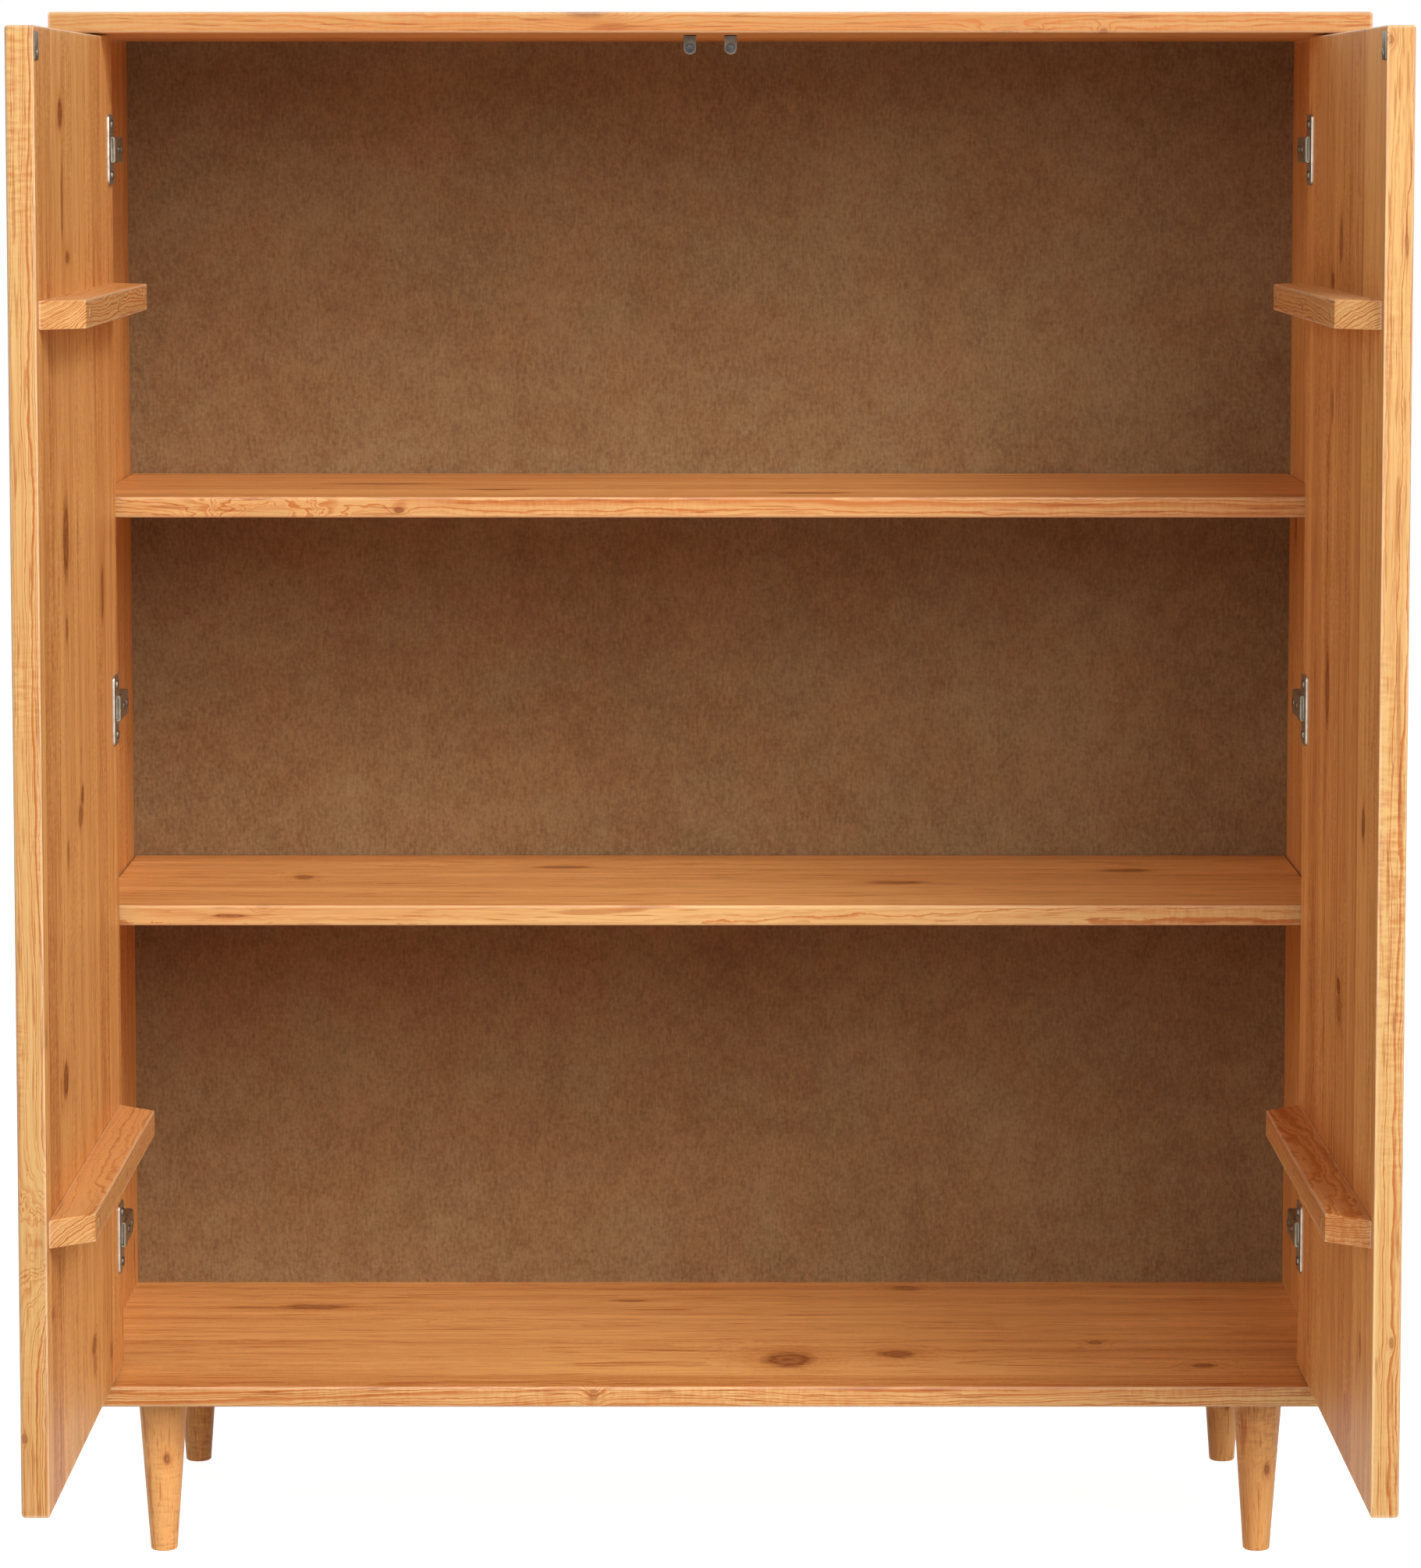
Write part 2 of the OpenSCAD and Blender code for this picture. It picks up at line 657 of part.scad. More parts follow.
module left_strike_plate() {
    color(steel) open_door() difference() {
        translate([strike_x, pin_depth, strike_z]) into_door(0, 0, strike_t)
            translate([-strike_w / 2, -strike_h / 2])
                soft_rect(strike_w, strike_h, door_inner_r, door_inner_r);
        translate([strike_x, pin_depth, strike_screw_z]) rotate([-90, 0, 0])
            pin_hole(small_screw_dia, -cut, strike_t + cut);
    }
}

module left_strike_screw() {
    color(steel_dark) open_door()
        translate([strike_x, pin_depth + strike_t, strike_screw_z]) rotate([-90, 0, 0])
            pan_screw(small_screw_dia, small_head_dia, small_head_h, strike_t + screw_bite);
}

module hinge_cup(z) {
    flange_x = flange_edge - pin_to_edge;
    color(steel) open_door() difference() {
        union() {
            into_door(z, pin_depth, pin_depth + flange_t) translate([flange_x, -flange_h / 2])
                soft_rect(flange_w, flange_h, flange_r, flange_r);
            into_door(z, cup_floor - cup_wall, pin_depth + flange_t / 2)
                cup_outline(cup_wall, 2 * cup_wall);
        }
        into_door(z, cup_floor, pin_depth + flange_t + cut) cup_outline(0, cup_wall);
        translate([0, 0, z])
            pin_hole(hinge_pin_dia, -cup_half_h - cup_wall - cut, cup_half_h + cup_wall + cut);
        each_cup_screw([z]) rotate([-90, 0, 0]) pin_hole(screw_dia, -cut, flange_t + cut);
    }
}

module left_upper_hinge_cup() hinge_cup(upper_hinge_z);
module left_middle_hinge_cup() hinge_cup(middle_hinge_z);
module left_lower_hinge_cup() hinge_cup(lower_hinge_z);

module left_hinge_pins() {
    half = cup_half_h + cup_wall;
    color(steel_dark) open_door() for (z = hinge_zs) translate([0, 0, z - half])
        cylinder(d = hinge_pin_dia, h = 2 * half, $fn = fine);
}

module left_cup_screws() {
    color(steel_dark) open_door() each_cup_screw() rotate([-90, 0, 0]) translate([0, 0, flange_t])
        pan_screw(screw_dia, screw_head_dia, screw_head_h, flange_t + screw_bite);
}

module right_door_panel() right() left_door_panel();
module right_upper_cleat() right() left_upper_cleat();
module right_lower_cleat() right() left_lower_cleat();
module right_cleat_screws() right() left_cleat_screws();
module right_cleat_plugs() right() left_cleat_plugs();
module right_strike_plate() right() left_strike_plate();
module right_strike_screw() right() left_strike_screw();
module right_upper_hinge_cup() right() left_upper_hinge_cup();
module right_middle_hinge_cup() right() left_middle_hinge_cup();
module right_lower_hinge_cup() right() left_lower_hinge_cup();
module right_hinge_pins() right() left_hinge_pins();
module right_cup_screws() right() left_cup_screws();

top_board();
bottom_board();
left_side_panel();
right_side_panel();
back_panel();
upper_shelf();
lower_shelf();
shelf_pins();
carcass_dowels();
front_left_leg();
front_right_leg();
rear_left_leg();
rear_right_leg();
leg_plates();
leg_bolts();
leg_plate_screws();
left_catch_bracket();
right_catch_bracket();
catch_magnets();
catch_screws();
left_upper_hinge_base();
left_middle_hinge_base();
left_lower_hinge_base();
right_upper_hinge_base();
right_middle_hinge_base();
right_lower_hinge_base();
left_upper_hinge_arm();
left_middle_hinge_arm();
left_lower_hinge_arm();
right_upper_hinge_arm();
right_middle_hinge_arm();
right_lower_hinge_arm();
hinge_base_screws();
hinge_arm_rivets();
left_door_panel();
left_upper_cleat();
left_lower_cleat();
left_cleat_screws();
left_cleat_plugs();
left_strike_plate();
left_strike_screw();
left_upper_hinge_cup();
left_middle_hinge_cup();
left_lower_hinge_cup();
left_hinge_pins();
left_cup_screws();
right_door_panel();
right_upper_cleat();
right_lower_cleat();
right_cleat_screws();
right_cleat_plugs();
right_strike_plate();
right_strike_screw();
right_upper_hinge_cup();
right_middle_hinge_cup();
right_lower_hinge_cup();
right_hinge_pins();
right_cup_screws();
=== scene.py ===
"""Looks of the highboard: oiled pine boards, turned legs, plated fittings and a hardboard back.

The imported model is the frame. Boards, doors and legs keep their own solids and are dressed in
timber with glued staves, growth rings and knots. Cleats, plugs, screws, hinge cups and arms,
catches, strike plates and shelf pins are modelled again with eased edges, and stand for their
plain solids. All lengths are in metres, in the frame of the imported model.
"""

from __future__ import annotations

import json
import logging
import math
import random
from collections.abc import Callable, Iterable, Mapping, Sequence
from dataclasses import dataclass, replace
from enum import Enum
from typing import Any

import bmesh
import bpy
from bmesh.types import BMEdge, BMFace, BMVert
from bpy.types import Material, Node, NodeSocket, NodeTree
from mathutils import Euler, Matrix, Vector

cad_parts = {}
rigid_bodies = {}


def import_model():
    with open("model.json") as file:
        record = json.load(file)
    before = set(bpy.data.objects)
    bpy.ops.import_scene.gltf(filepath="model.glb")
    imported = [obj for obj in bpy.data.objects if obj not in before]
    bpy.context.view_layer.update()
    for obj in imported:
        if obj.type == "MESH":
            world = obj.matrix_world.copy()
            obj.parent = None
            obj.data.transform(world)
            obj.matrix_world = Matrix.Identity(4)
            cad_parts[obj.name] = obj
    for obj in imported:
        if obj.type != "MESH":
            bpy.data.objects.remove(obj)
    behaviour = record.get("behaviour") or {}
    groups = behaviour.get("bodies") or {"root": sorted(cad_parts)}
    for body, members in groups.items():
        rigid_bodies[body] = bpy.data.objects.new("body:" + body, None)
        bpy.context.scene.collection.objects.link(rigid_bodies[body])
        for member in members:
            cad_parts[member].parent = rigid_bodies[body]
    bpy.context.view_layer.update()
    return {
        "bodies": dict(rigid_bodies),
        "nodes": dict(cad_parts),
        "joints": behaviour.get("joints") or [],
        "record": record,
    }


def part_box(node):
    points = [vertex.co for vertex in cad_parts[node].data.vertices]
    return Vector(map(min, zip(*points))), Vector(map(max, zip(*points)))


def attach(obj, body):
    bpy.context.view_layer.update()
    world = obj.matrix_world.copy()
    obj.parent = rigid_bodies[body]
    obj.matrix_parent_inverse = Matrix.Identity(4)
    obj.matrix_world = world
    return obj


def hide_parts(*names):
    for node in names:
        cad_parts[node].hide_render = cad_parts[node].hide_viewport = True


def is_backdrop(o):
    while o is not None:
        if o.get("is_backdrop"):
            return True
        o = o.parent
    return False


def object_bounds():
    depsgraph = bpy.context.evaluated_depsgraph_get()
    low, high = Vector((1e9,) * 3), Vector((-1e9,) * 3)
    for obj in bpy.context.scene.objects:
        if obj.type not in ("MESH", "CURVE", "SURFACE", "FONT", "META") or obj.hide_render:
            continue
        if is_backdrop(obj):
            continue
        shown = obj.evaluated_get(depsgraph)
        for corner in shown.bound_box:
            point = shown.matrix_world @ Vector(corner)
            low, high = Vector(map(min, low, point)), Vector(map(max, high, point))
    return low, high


LOG = logging.getLogger("highboard")

Colour = tuple[float, float, float]
Point = tuple[float, float, float]
Feed = float | Sequence[float] | NodeSocket


def srgb(red: int, green: int, blue: int) -> Colour:
    """Gives the linear colour of a display colour.

    Args:
        red: Red, from 0 to 255.
        green: Green, from 0 to 255.
        blue: Blue, from 0 to 255.

    Returns:
        The linear red, green and blue, from 0 to 1.
    """

    def linear(value: int) -> float:
        """Undoes the display curve of one channel."""
        share = value / 255
        return share / 12.92 if share <= 0.04045 else ((share + 0.055) / 1.055) ** 2.4

    return linear(red), linear(green), linear(blue)


# Shader graphs and the groups that the finishes share


class Graph:
    """Adds nodes to one node tree and joins them."""

    row_length: int = 12
    step_along: int = 190
    step_down: int = 280

    def __init__(self, tree: NodeTree) -> None:
        """Keeps the tree that the nodes go into."""
        self.tree = tree

    def add(self, kind: str, feeds: Mapping[str | int, Feed] | None = None, **settings: Any
            ) -> Node:
        """Adds one node.

        Args:
            kind: The node's type, without its ShaderNode prefix where it has one.
            feeds: Input names or numbers, with the value or socket that each gets.
            **settings: Properties of the node.

        Returns:
            The new node.
        """
        row, column = divmod(len(self.tree.nodes), self.row_length)
        node = self.tree.nodes.new(kind if kind.startswith("NodeGroup") else f"ShaderNode{kind}")
        node.location = (column * self.step_along, -row * self.step_down)
        for name, value in settings.items():
            setattr(node, name, value)
        for name, value in (feeds or {}).items():
            self.feed(node.inputs[name], value)
        return node

    def feed(self, socket: NodeSocket, value: Feed) -> None:
        """Joins a socket to another socket, or sets its value.

        Args:
            socket: The input.
            value: The socket or the value that it gets.
        """
        if isinstance(value, NodeSocket):
            self.tree.links.new(value, socket)
        elif socket.type == "RGBA" and len(value) == 3:
            socket.default_value = (*value, 1.0)
        else:
            socket.default_value = value

    def math(self, operation: str, *values: Feed, clamp: bool = False) -> NodeSocket:
        """Adds a Math node and returns its result."""
        node = self.add("Math", dict(enumerate(values)), operation=operation, use_clamp=clamp)
        return node.outputs[0]

    def plus(self, one: Feed, other: Feed, clamp: bool = False) -> NodeSocket:
        """Adds two numbers."""
        return self.math("ADD", one, other, clamp=clamp)

    def minus(self, one: Feed, other: Feed) -> NodeSocket:
        """Takes the second number from the first."""
        return self.math("SUBTRACT", one, other)

    def times(self, one: Feed, other: Feed) -> NodeSocket:
        """Multiplies two numbers."""
        return self.math("MULTIPLY", one, other)

    def scaled(self, value: Feed, factor: Feed, more: Feed, clamp: bool = False) -> NodeSocket:
        """Multiplies a number by a factor and adds another number."""
        return self.math("MULTIPLY_ADD", value, factor, more, clamp=clamp)

    def vector(self, operation: str, *values: Feed) -> NodeSocket:
        """Adds a Vector Math node and returns its result, a number for LENGTH."""
        node = self.add("VectorMath", dict(enumerate(values)), operation=operation)
        return node.outputs[1 if operation == "LENGTH" else 0]

    def span(self, value: Feed, low: float, high: float, to: Sequence[float] = (0.0, 1.0)
             ) -> NodeSocket:
        """Maps a value smoothly from one range to another.

        Args:
            value: The value to map.
            low: Where the result starts.
            high: Where the result ends, above or below low.
            to: The result at low and at high.

        Returns:
            The mapped value.
        """
        feeds = {0: value, 1: low, 2: high, 3: to[0], 4: to[1]}
        return self.add("MapRange", feeds, interpolation_type="SMOOTHSTEP").outputs[0]

    def blend(self, share: Feed, low: Feed, high: Feed, kind: str = "MIX") -> NodeSocket:
        """Mixes two colours by a share and returns the colour."""
        node = self.add("Mix", {0: share, 6: low, 7: high}, data_type="RGBA", blend_type=kind)
        return node.outputs[2]

    def noise(self, place: Feed, scale: float | Point, detail: float = 2.0, rough: float = 0.5,
              output: str = "Fac") -> NodeSocket:
        """Adds a Noise node whose pattern may be stretched.

        Args:
            place: Where the pattern is read.
            scale: Cells in a metre, the same or different along each axis.
            detail: Number of finer layers.
            rough: Strength of the finer layers.
            output: Fac for a number, or Color.

        Returns:
            The pattern.
        """
        if not isinstance(scale, (int, float)):
            place, scale = self.vector("MULTIPLY", place, scale), 1.0
        feeds = {"Vector": place, "Scale": scale, "Detail": detail, "Roughness": rough}
        return self.add("TexNoise", feeds).outputs[output]

    def axes(self, vector: Feed) -> list[NodeSocket]:
        """Splits a vector into its three axes."""
        return list(self.add("SeparateXYZ", {0: vector}).outputs)

    def join(self, *axes: Feed) -> NodeSocket:
        """Joins three numbers into a vector."""
        return self.add("CombineXYZ", dict(enumerate(axes))).outputs[0]


Sockets = Mapping[str, NodeSocket]

MIDDLE_GREY: Colour = (0.5, 0.5, 0.5)
HALO_TINT: Colour = (0.76, 0.56, 0.38)
MARK_TINT: Colour = (0.6, 0.34, 0.17)
END_TINT: Colour = (0.66, 0.54, 0.44)
# Painted highlight: the pale tint that the arrises of the timber are lightened towards.
ARRIS_HIGHLIGHT_TINT: Colour = (1.0, 0.86, 0.62)


def effect(name: str, takes: str, gives: str, body: Callable[[Graph, Sockets], Sockets]
           ) -> NodeTree:
    """Builds a shader node group.

    Args:
        name: The group's name.
        takes: Its inputs, which are numbers unless another kind of socket follows their name.
        gives: Its outputs, in the same way.
        body: Adds the group's nodes and returns the socket of each output.

    Returns:
        The group's node tree.
    """
    tree = bpy.data.node_groups.new(name, "ShaderNodeTree")
    for words, way in ((takes, "INPUT"), (gives, "OUTPUT")):
        for word in words.split():
            label, _, kind = word.partition(":")
            tree.interface.new_socket(name=label, in_out=way,
                                      socket_type=f"NodeSocket{kind or 'Float'}")
    graph = Graph(tree)
    source = graph.add("NodeGroupInput")
    graph.add("NodeGroupOutput", dict(body(graph, dict(source.outputs.items()))))
    return tree


def stave_body(g: Graph, s: Sockets) -> Sockets:
    """Splits a board into glued staves, each with its own place in its own log.

    Args:
        g: The group's graph.
        s: The group's inputs.

    Returns:
        The place in the log as Vector, each stave's Tone and the Seam between two of them.
    """
    along, across, through = g.axes(s["Vector"])
    lane = g.plus(g.math("DIVIDE", across, s["Width"]), s["Seed"])
    index, share = g.math("FLOOR", lane), g.math("FRACT", lane)
    dice = g.add("TexWhiteNoise", {"W": g.plus(index, s["Seed"])}, noise_dimensions="1D")
    first, second, third = g.add("SeparateColor", {0: dice.outputs["Color"]}).outputs
    middle = g.times(g.minus(share, 0.5), s["Width"])
    sway = g.times(g.minus(first, 0.5), 0.06)
    depth = g.times(g.scaled(second, 0.8, 0.2), s["Depth"])
    side = g.scaled(g.math("ROUND", third), 2.0, -1.0)
    local = g.join(
        g.scaled(g.plus(first, third), 5.3, along),
        g.plus(middle, sway),
        g.scaled(depth, side, through),
    )
    rim = g.times(g.math("MINIMUM", share, g.minus(1.0, share)), s["Width"])
    tone = g.math("FRACT", g.times(g.plus(second, third), 7.9))
    return {"Vector": local, "Tone": tone, "Seam": g.span(rim, 0.0005, 0.0001)}


def ring_body(g: Graph, s: Sockets) -> Sockets:
    """Draws growth rings round a pith that wanders as it runs along the stave.

    Args:
        g: The group's graph.
        s: The place in the log as Vector, and the group's inputs Wander, Swirl and Gap.

    Returns:
        The Rings, 1 in the darkest late wood.
    """
    along, across, through = g.axes(s["Vector"])
    wander = g.noise(g.join(along, 3.1, 7.7), 1.7, 1.0, output="Color")
    wander = g.vector("MULTIPLY", g.vector("SUBTRACT", wander, MIDDLE_GREY), s["Wander"])
    _, sway, lift = g.axes(wander)
    reach = g.vector("LENGTH", g.join(0.0, g.plus(across, sway), g.plus(through, lift)))
    wave = g.noise(s["Vector"], (6.0, 30.0, 30.0), 3.0, 0.55)
    ripple = g.noise(s["Vector"], (75.0, 240.0, 240.0), 2.0, 0.6)
    reach = g.scaled(g.minus(wave, 0.5), 0.012, reach)
    reach = g.scaled(g.minus(ripple, 0.5), 0.0019, reach)
    phase = g.math("DIVIDE", g.plus(reach, s["Swirl"]), s["Gap"])
    uneven = g.noise(g.join(phase, 0.0, 0.0), 0.45, 0.0)
    phase = g.scaled(uneven, 2.6, phase)
    year, share = g.math("FLOOR", phase), g.math("FRACT", phase)
    dice = g.add("TexWhiteNoise", {"W": year}, noise_dimensions="1D").outputs["Value"]
    late = g.times(g.span(share, 0.42, 0.9), g.span(share, 1.0, 0.94))
    return {"Rings": g.times(late, g.scaled(dice, 0.75, 0.25))}


def fibre_body(g: Graph, s: Sockets) -> Sockets:
    """Draws what runs with the fibres: soft streaks, dark dashes and a cross ripple of curl figure,
    partly painted sheen.

    Args:
        g: The group's graph.
        s: The place in the log as Vector.

    Returns:
        The soft streaks as Broad and Fine, the dark ones as Dash, and the curl ripple, partly painted
        sheen, as Curl.
    """
    place = s["Vector"]
    specks = g.noise(place, (24.0, 520.0, 520.0), 1.0)
    streaks = g.noise(place, (7.0, 105.0, 105.0), 2.0, 0.6)
    curl_sheen = g.noise(place, (330.0, 90.0, 90.0))
    patch = g.noise(place, (5.0, 12.0, 12.0), 1.0)
    return {
        "Broad": g.noise(place, (1.6, 48.0, 48.0), 4.0, 0.6),
        "Fine": g.noise(place, (14.0, 620.0, 620.0), 3.0, 0.6),
        "Dash": g.math("MAXIMUM", g.span(specks, 0.6, 0.72), g.span(streaks, 0.64, 0.71)),
        "Curl": g.times(g.minus(curl_sheen, 0.5), g.span(patch, 0.4, 0.62)),
    }


def figure_body(g: Graph, s: Sockets) -> Sockets:
    """Draws the figure of the timber: its staves, its growth rings and its fibres.

    Args:
        g: The group's graph.
        s: The group's inputs.

    Returns:
        The rings, the fibres, and each stave's Tone and Seam.
    """
    staves = dict(stave_body(g, s))
    place = {"Vector": staves.pop("Vector")}
    return {**ring_body(g, {**s, **place}), **fibre_body(g, place), **staves}


def knot_body(g: Graph, s: Sockets) -> Sockets:
    """Adds one knot to those before it: a dark core, a stained halo and grain pushed aside.

    Args:
        g: The group's graph.
        s: The group's inputs.

    Returns:
        The Core, Halo and Swirl of all knots so far.
    """
    place = g.vector("DIVIDE", g.vector("SUBTRACT", s["Vector"], s["Centre"]), s["Size"])
    warp = g.vector("SUBTRACT", s["Warp"], MIDDLE_GREY)
    far = g.vector("LENGTH", g.vector("MULTIPLY_ADD", warp, (0.8, 0.8, 0.8), place))
    rings = g.scaled(g.math("SINE", g.times(far, 15.0)), 0.2, 0.8)
    core = g.times(g.times(g.span(far, 1.04, 0.62), rings), s["Dark"])
    push = g.math("EXPONENT", g.times(g.times(far, far), -0.35))
    return {
        "Core": g.math("MAXIMUM", s["Core"], core),
        "Halo": g.math("MAXIMUM", s["Halo"], g.times(g.span(far, 2.3, 0.8), s["Dark"])),
        "Swirl": g.scaled(push, s["Push"], s["Swirl"]),
    }


def arris_body(g: Graph, s: Sockets) -> Sockets:
    """Finds the arrises, the sawn ends and the wide faces of a board from its half sizes.

    Args:
        g: The group's graph.
        s: The group's inputs.

    Returns:
        The masks Arris, End and Face.
    """
    inside = g.vector("SUBTRACT", g.vector("ABSOLUTE", s["Vector"]), s["Half"])
    along, across, through = g.axes(inside)
    near = [g.span(axis, -0.0026, -0.0006) for axis in (along, across, through)]
    total = g.plus(g.plus(near[0], near[1]), near[2])
    return {
        "Arris": g.math("SUBTRACT", total, 1.0, clamp=True),
        "End": g.span(along, -0.0004, -0.00005),
        "Face": g.span(through, -0.0012, -0.0001),
    }


def timber_body(g: Graph, s: Sockets) -> Sockets:
    """Turns the patterns of a board into its looks.

    Args:
        g: The group's graph.
        s: The group's inputs.

    Returns:
        The Colour, the Roughness and the Height of the grain.
    """
    edge = g.scaled(s["Face"], -1.0, 1.7)
    depth = g.times(g.times(s["Rings"], s["Contrast"]), edge)
    depth = g.scaled(g.minus(s["Broad"], 0.5), 1.6, depth)
    depth = g.scaled(g.minus(s["Fine"], 0.5), s["Fibre"], depth)
    # Curl figure on the edges: partly real figure, partly a painted sheen of light across the grain.
    depth = g.scaled(g.times(s["Curl"], s["Ripple"]), edge, depth)
    depth = g.scaled(g.minus(s["Tone"], 0.5), 0.5, depth)
    early = g.blend(s["Face"], s["Edge"], s["Early"])
    colour = g.blend(g.scaled(depth, 0.88, 0.28, clamp=True), early, s["Late"])
    colour = g.blend(g.times(s["Halo"], 0.4), colour, HALO_TINT, "MULTIPLY")
    dashes = g.times(s["Dash"], g.times(s["Fibre"], 0.55))
    marks = g.math("MAXIMUM", dashes, g.times(s["Seam"], 0.3))
    colour = g.blend(marks, colour, MARK_TINT, "MULTIPLY")
    colour = g.blend(s["Core"], colour, s["Knot"])
    colour = g.blend(g.times(s["End"], 0.75), colour, END_TINT, "MULTIPLY")
    # Painted highlight: every arris is lightened towards a pale tint, as if light caught the eased
    # edge.
    colour = g.blend(g.times(s["Arris"], 0.22), colour, ARRIS_HIGHLIGHT_TINT)
    height = g.scaled(s["Rings"], 0.35, s["Fine"])
    height = g.scaled(s["Dash"], -0.8, height)
    height = g.scaled(s["Core"], -0.5, height)
    rough = g.scaled(s["End"], 0.2, g.scaled(s["Fine"], 0.16, 0.4))
    rough = g.scaled(s["Core"], -0.1, rough)
    return {"Colour": colour, "Roughness": rough, "Height": height}


def brushed_body(g: Graph, s: Sockets) -> Sockets:
    """Draws fine brushing and handling marks on sheet metal.

    Args:
        g: The group's graph.
        s: The group's inputs.

    Returns:
        The Colour, the Roughness and the Height of the brushing.
    """
    lines = g.noise(s["Vector"], (900.0, 900.0, 5200.0))
    cloud = g.noise(s["Vector"], 160.0, 3.0)
    shade = g.scaled(lines, 0.35, g.times(cloud, 0.65))
    return {
        "Colour": g.blend(g.span(shade, 0.3, 0.7), s["Dull"], s["Bright"]),
        "Roughness": g.scaled(cloud, 0.18, s["Roughness"]),
        "Height": lines,
    }


@dataclass(frozen=True)
class Effects:
    """The shader node groups that the finishes share."""

    figure: NodeTree
    knot: NodeTree
    arris: NodeTree
    timber: NodeTree
    brushed: NodeTree

    @classmethod
    def build(cls) -> Effects:
        """Builds every group.

        Returns:
            The groups.
        """
        drawn = "Rings Broad Fine Dash Curl Tone Seam"
        marks = "Core Halo Swirl"
        edges = "Arris End Face"
        look = "Contrast Ripple Fibre Early:Color Late:Color Edge:Color Knot:Color"
        knot = f"Warp:Color Centre:Vector Size:Vector Dark Push {marks}"
        gives = "Colour:Color Roughness Height"
        place = "Vector:Vector"
        return cls(
            effect("pine_figure", f"{place} Width Seed Depth Gap Wander Swirl", drawn, figure_body),
            effect("knot", f"{place} {knot}", marks, knot_body),
            effect("arris", f"{place} Half:Vector", edges, arris_body),
            effect("timber", f"{drawn} Core Halo {edges} {look}", gives, timber_body),
            effect("brushed", f"{place} Dull:Color Bright:Color Roughness", gives, brushed_body),
        )


# Finishes


class Grain(Enum):
    """The way that the fibres of a piece run, with the turn that lays them along X."""

    ALONG_X = Euler((0.0, 0.0, 0.0))
    ALONG_Y = Euler((0.0, 0.0, -math.pi / 2))
    UPRIGHT = Euler((0.0, math.pi / 2, 0.0))


@dataclass(frozen=True)
class Knot:
    """A knot, or a dark streak where it is long and narrow.

    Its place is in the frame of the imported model, and its half sizes run along the grain, across
    it and through the board.
    """

    x: float
    y: float
    z: float
    along: float
    across: float
    through: float = 0.5
    dark: float = 0.8
    push: float = 0.0

    def feeds(self, turn: Matrix, middle: Vector) -> dict[str, Feed]:
        """Gives the values of the knot's group node.

        Args:
            turn: The turn that lays the grain along X.
            middle: The middle of the piece.

        Returns:
            The value of each input.
        """
        place = turn @ (Vector((self.x, self.y, self.z)) - middle)
        size = (self.along, self.across, self.through)
        return {"Centre": tuple(place), "Size": size, "Dark": self.dark, "Push": self.push}


def new_material(name: str) -> tuple[Material, Graph, Node]:
    """Makes an empty material.

    Args:
        name: The material's name.

    Returns:
        The material, its graph and its Principled shader.
    """
    material = bpy.data.materials.new(name)
    material.use_nodes = True
    material.node_tree.nodes.clear()
    graph = Graph(material.node_tree)
    shader = graph.add("BsdfPrincipled")
    graph.add("OutputMaterial", {"Surface": shader.outputs[0]})
    return material, graph, shader


def surface(graph: Graph, shader: Node, look: Node, strength: float,
            distance: float) -> None:
    """Joins the outputs of a look to a shader, with its height as bump.

    Args:
        graph: The material's graph.
        shader: The Principled shader.
        look: A node with the outputs Colour, Roughness and Height.
        strength: Strength of the bump.
        distance: Height of the bump.
    """
    bump = graph.add("Bump", {"Height": look.outputs["Height"], "Strength": strength,
                              "Distance": distance})
    graph.feed(shader.inputs["Base Color"], look.outputs["Colour"])
    graph.feed(shader.inputs["Roughness"], look.outputs["Roughness"])
    graph.feed(shader.inputs["Normal"], bump.outputs[0])


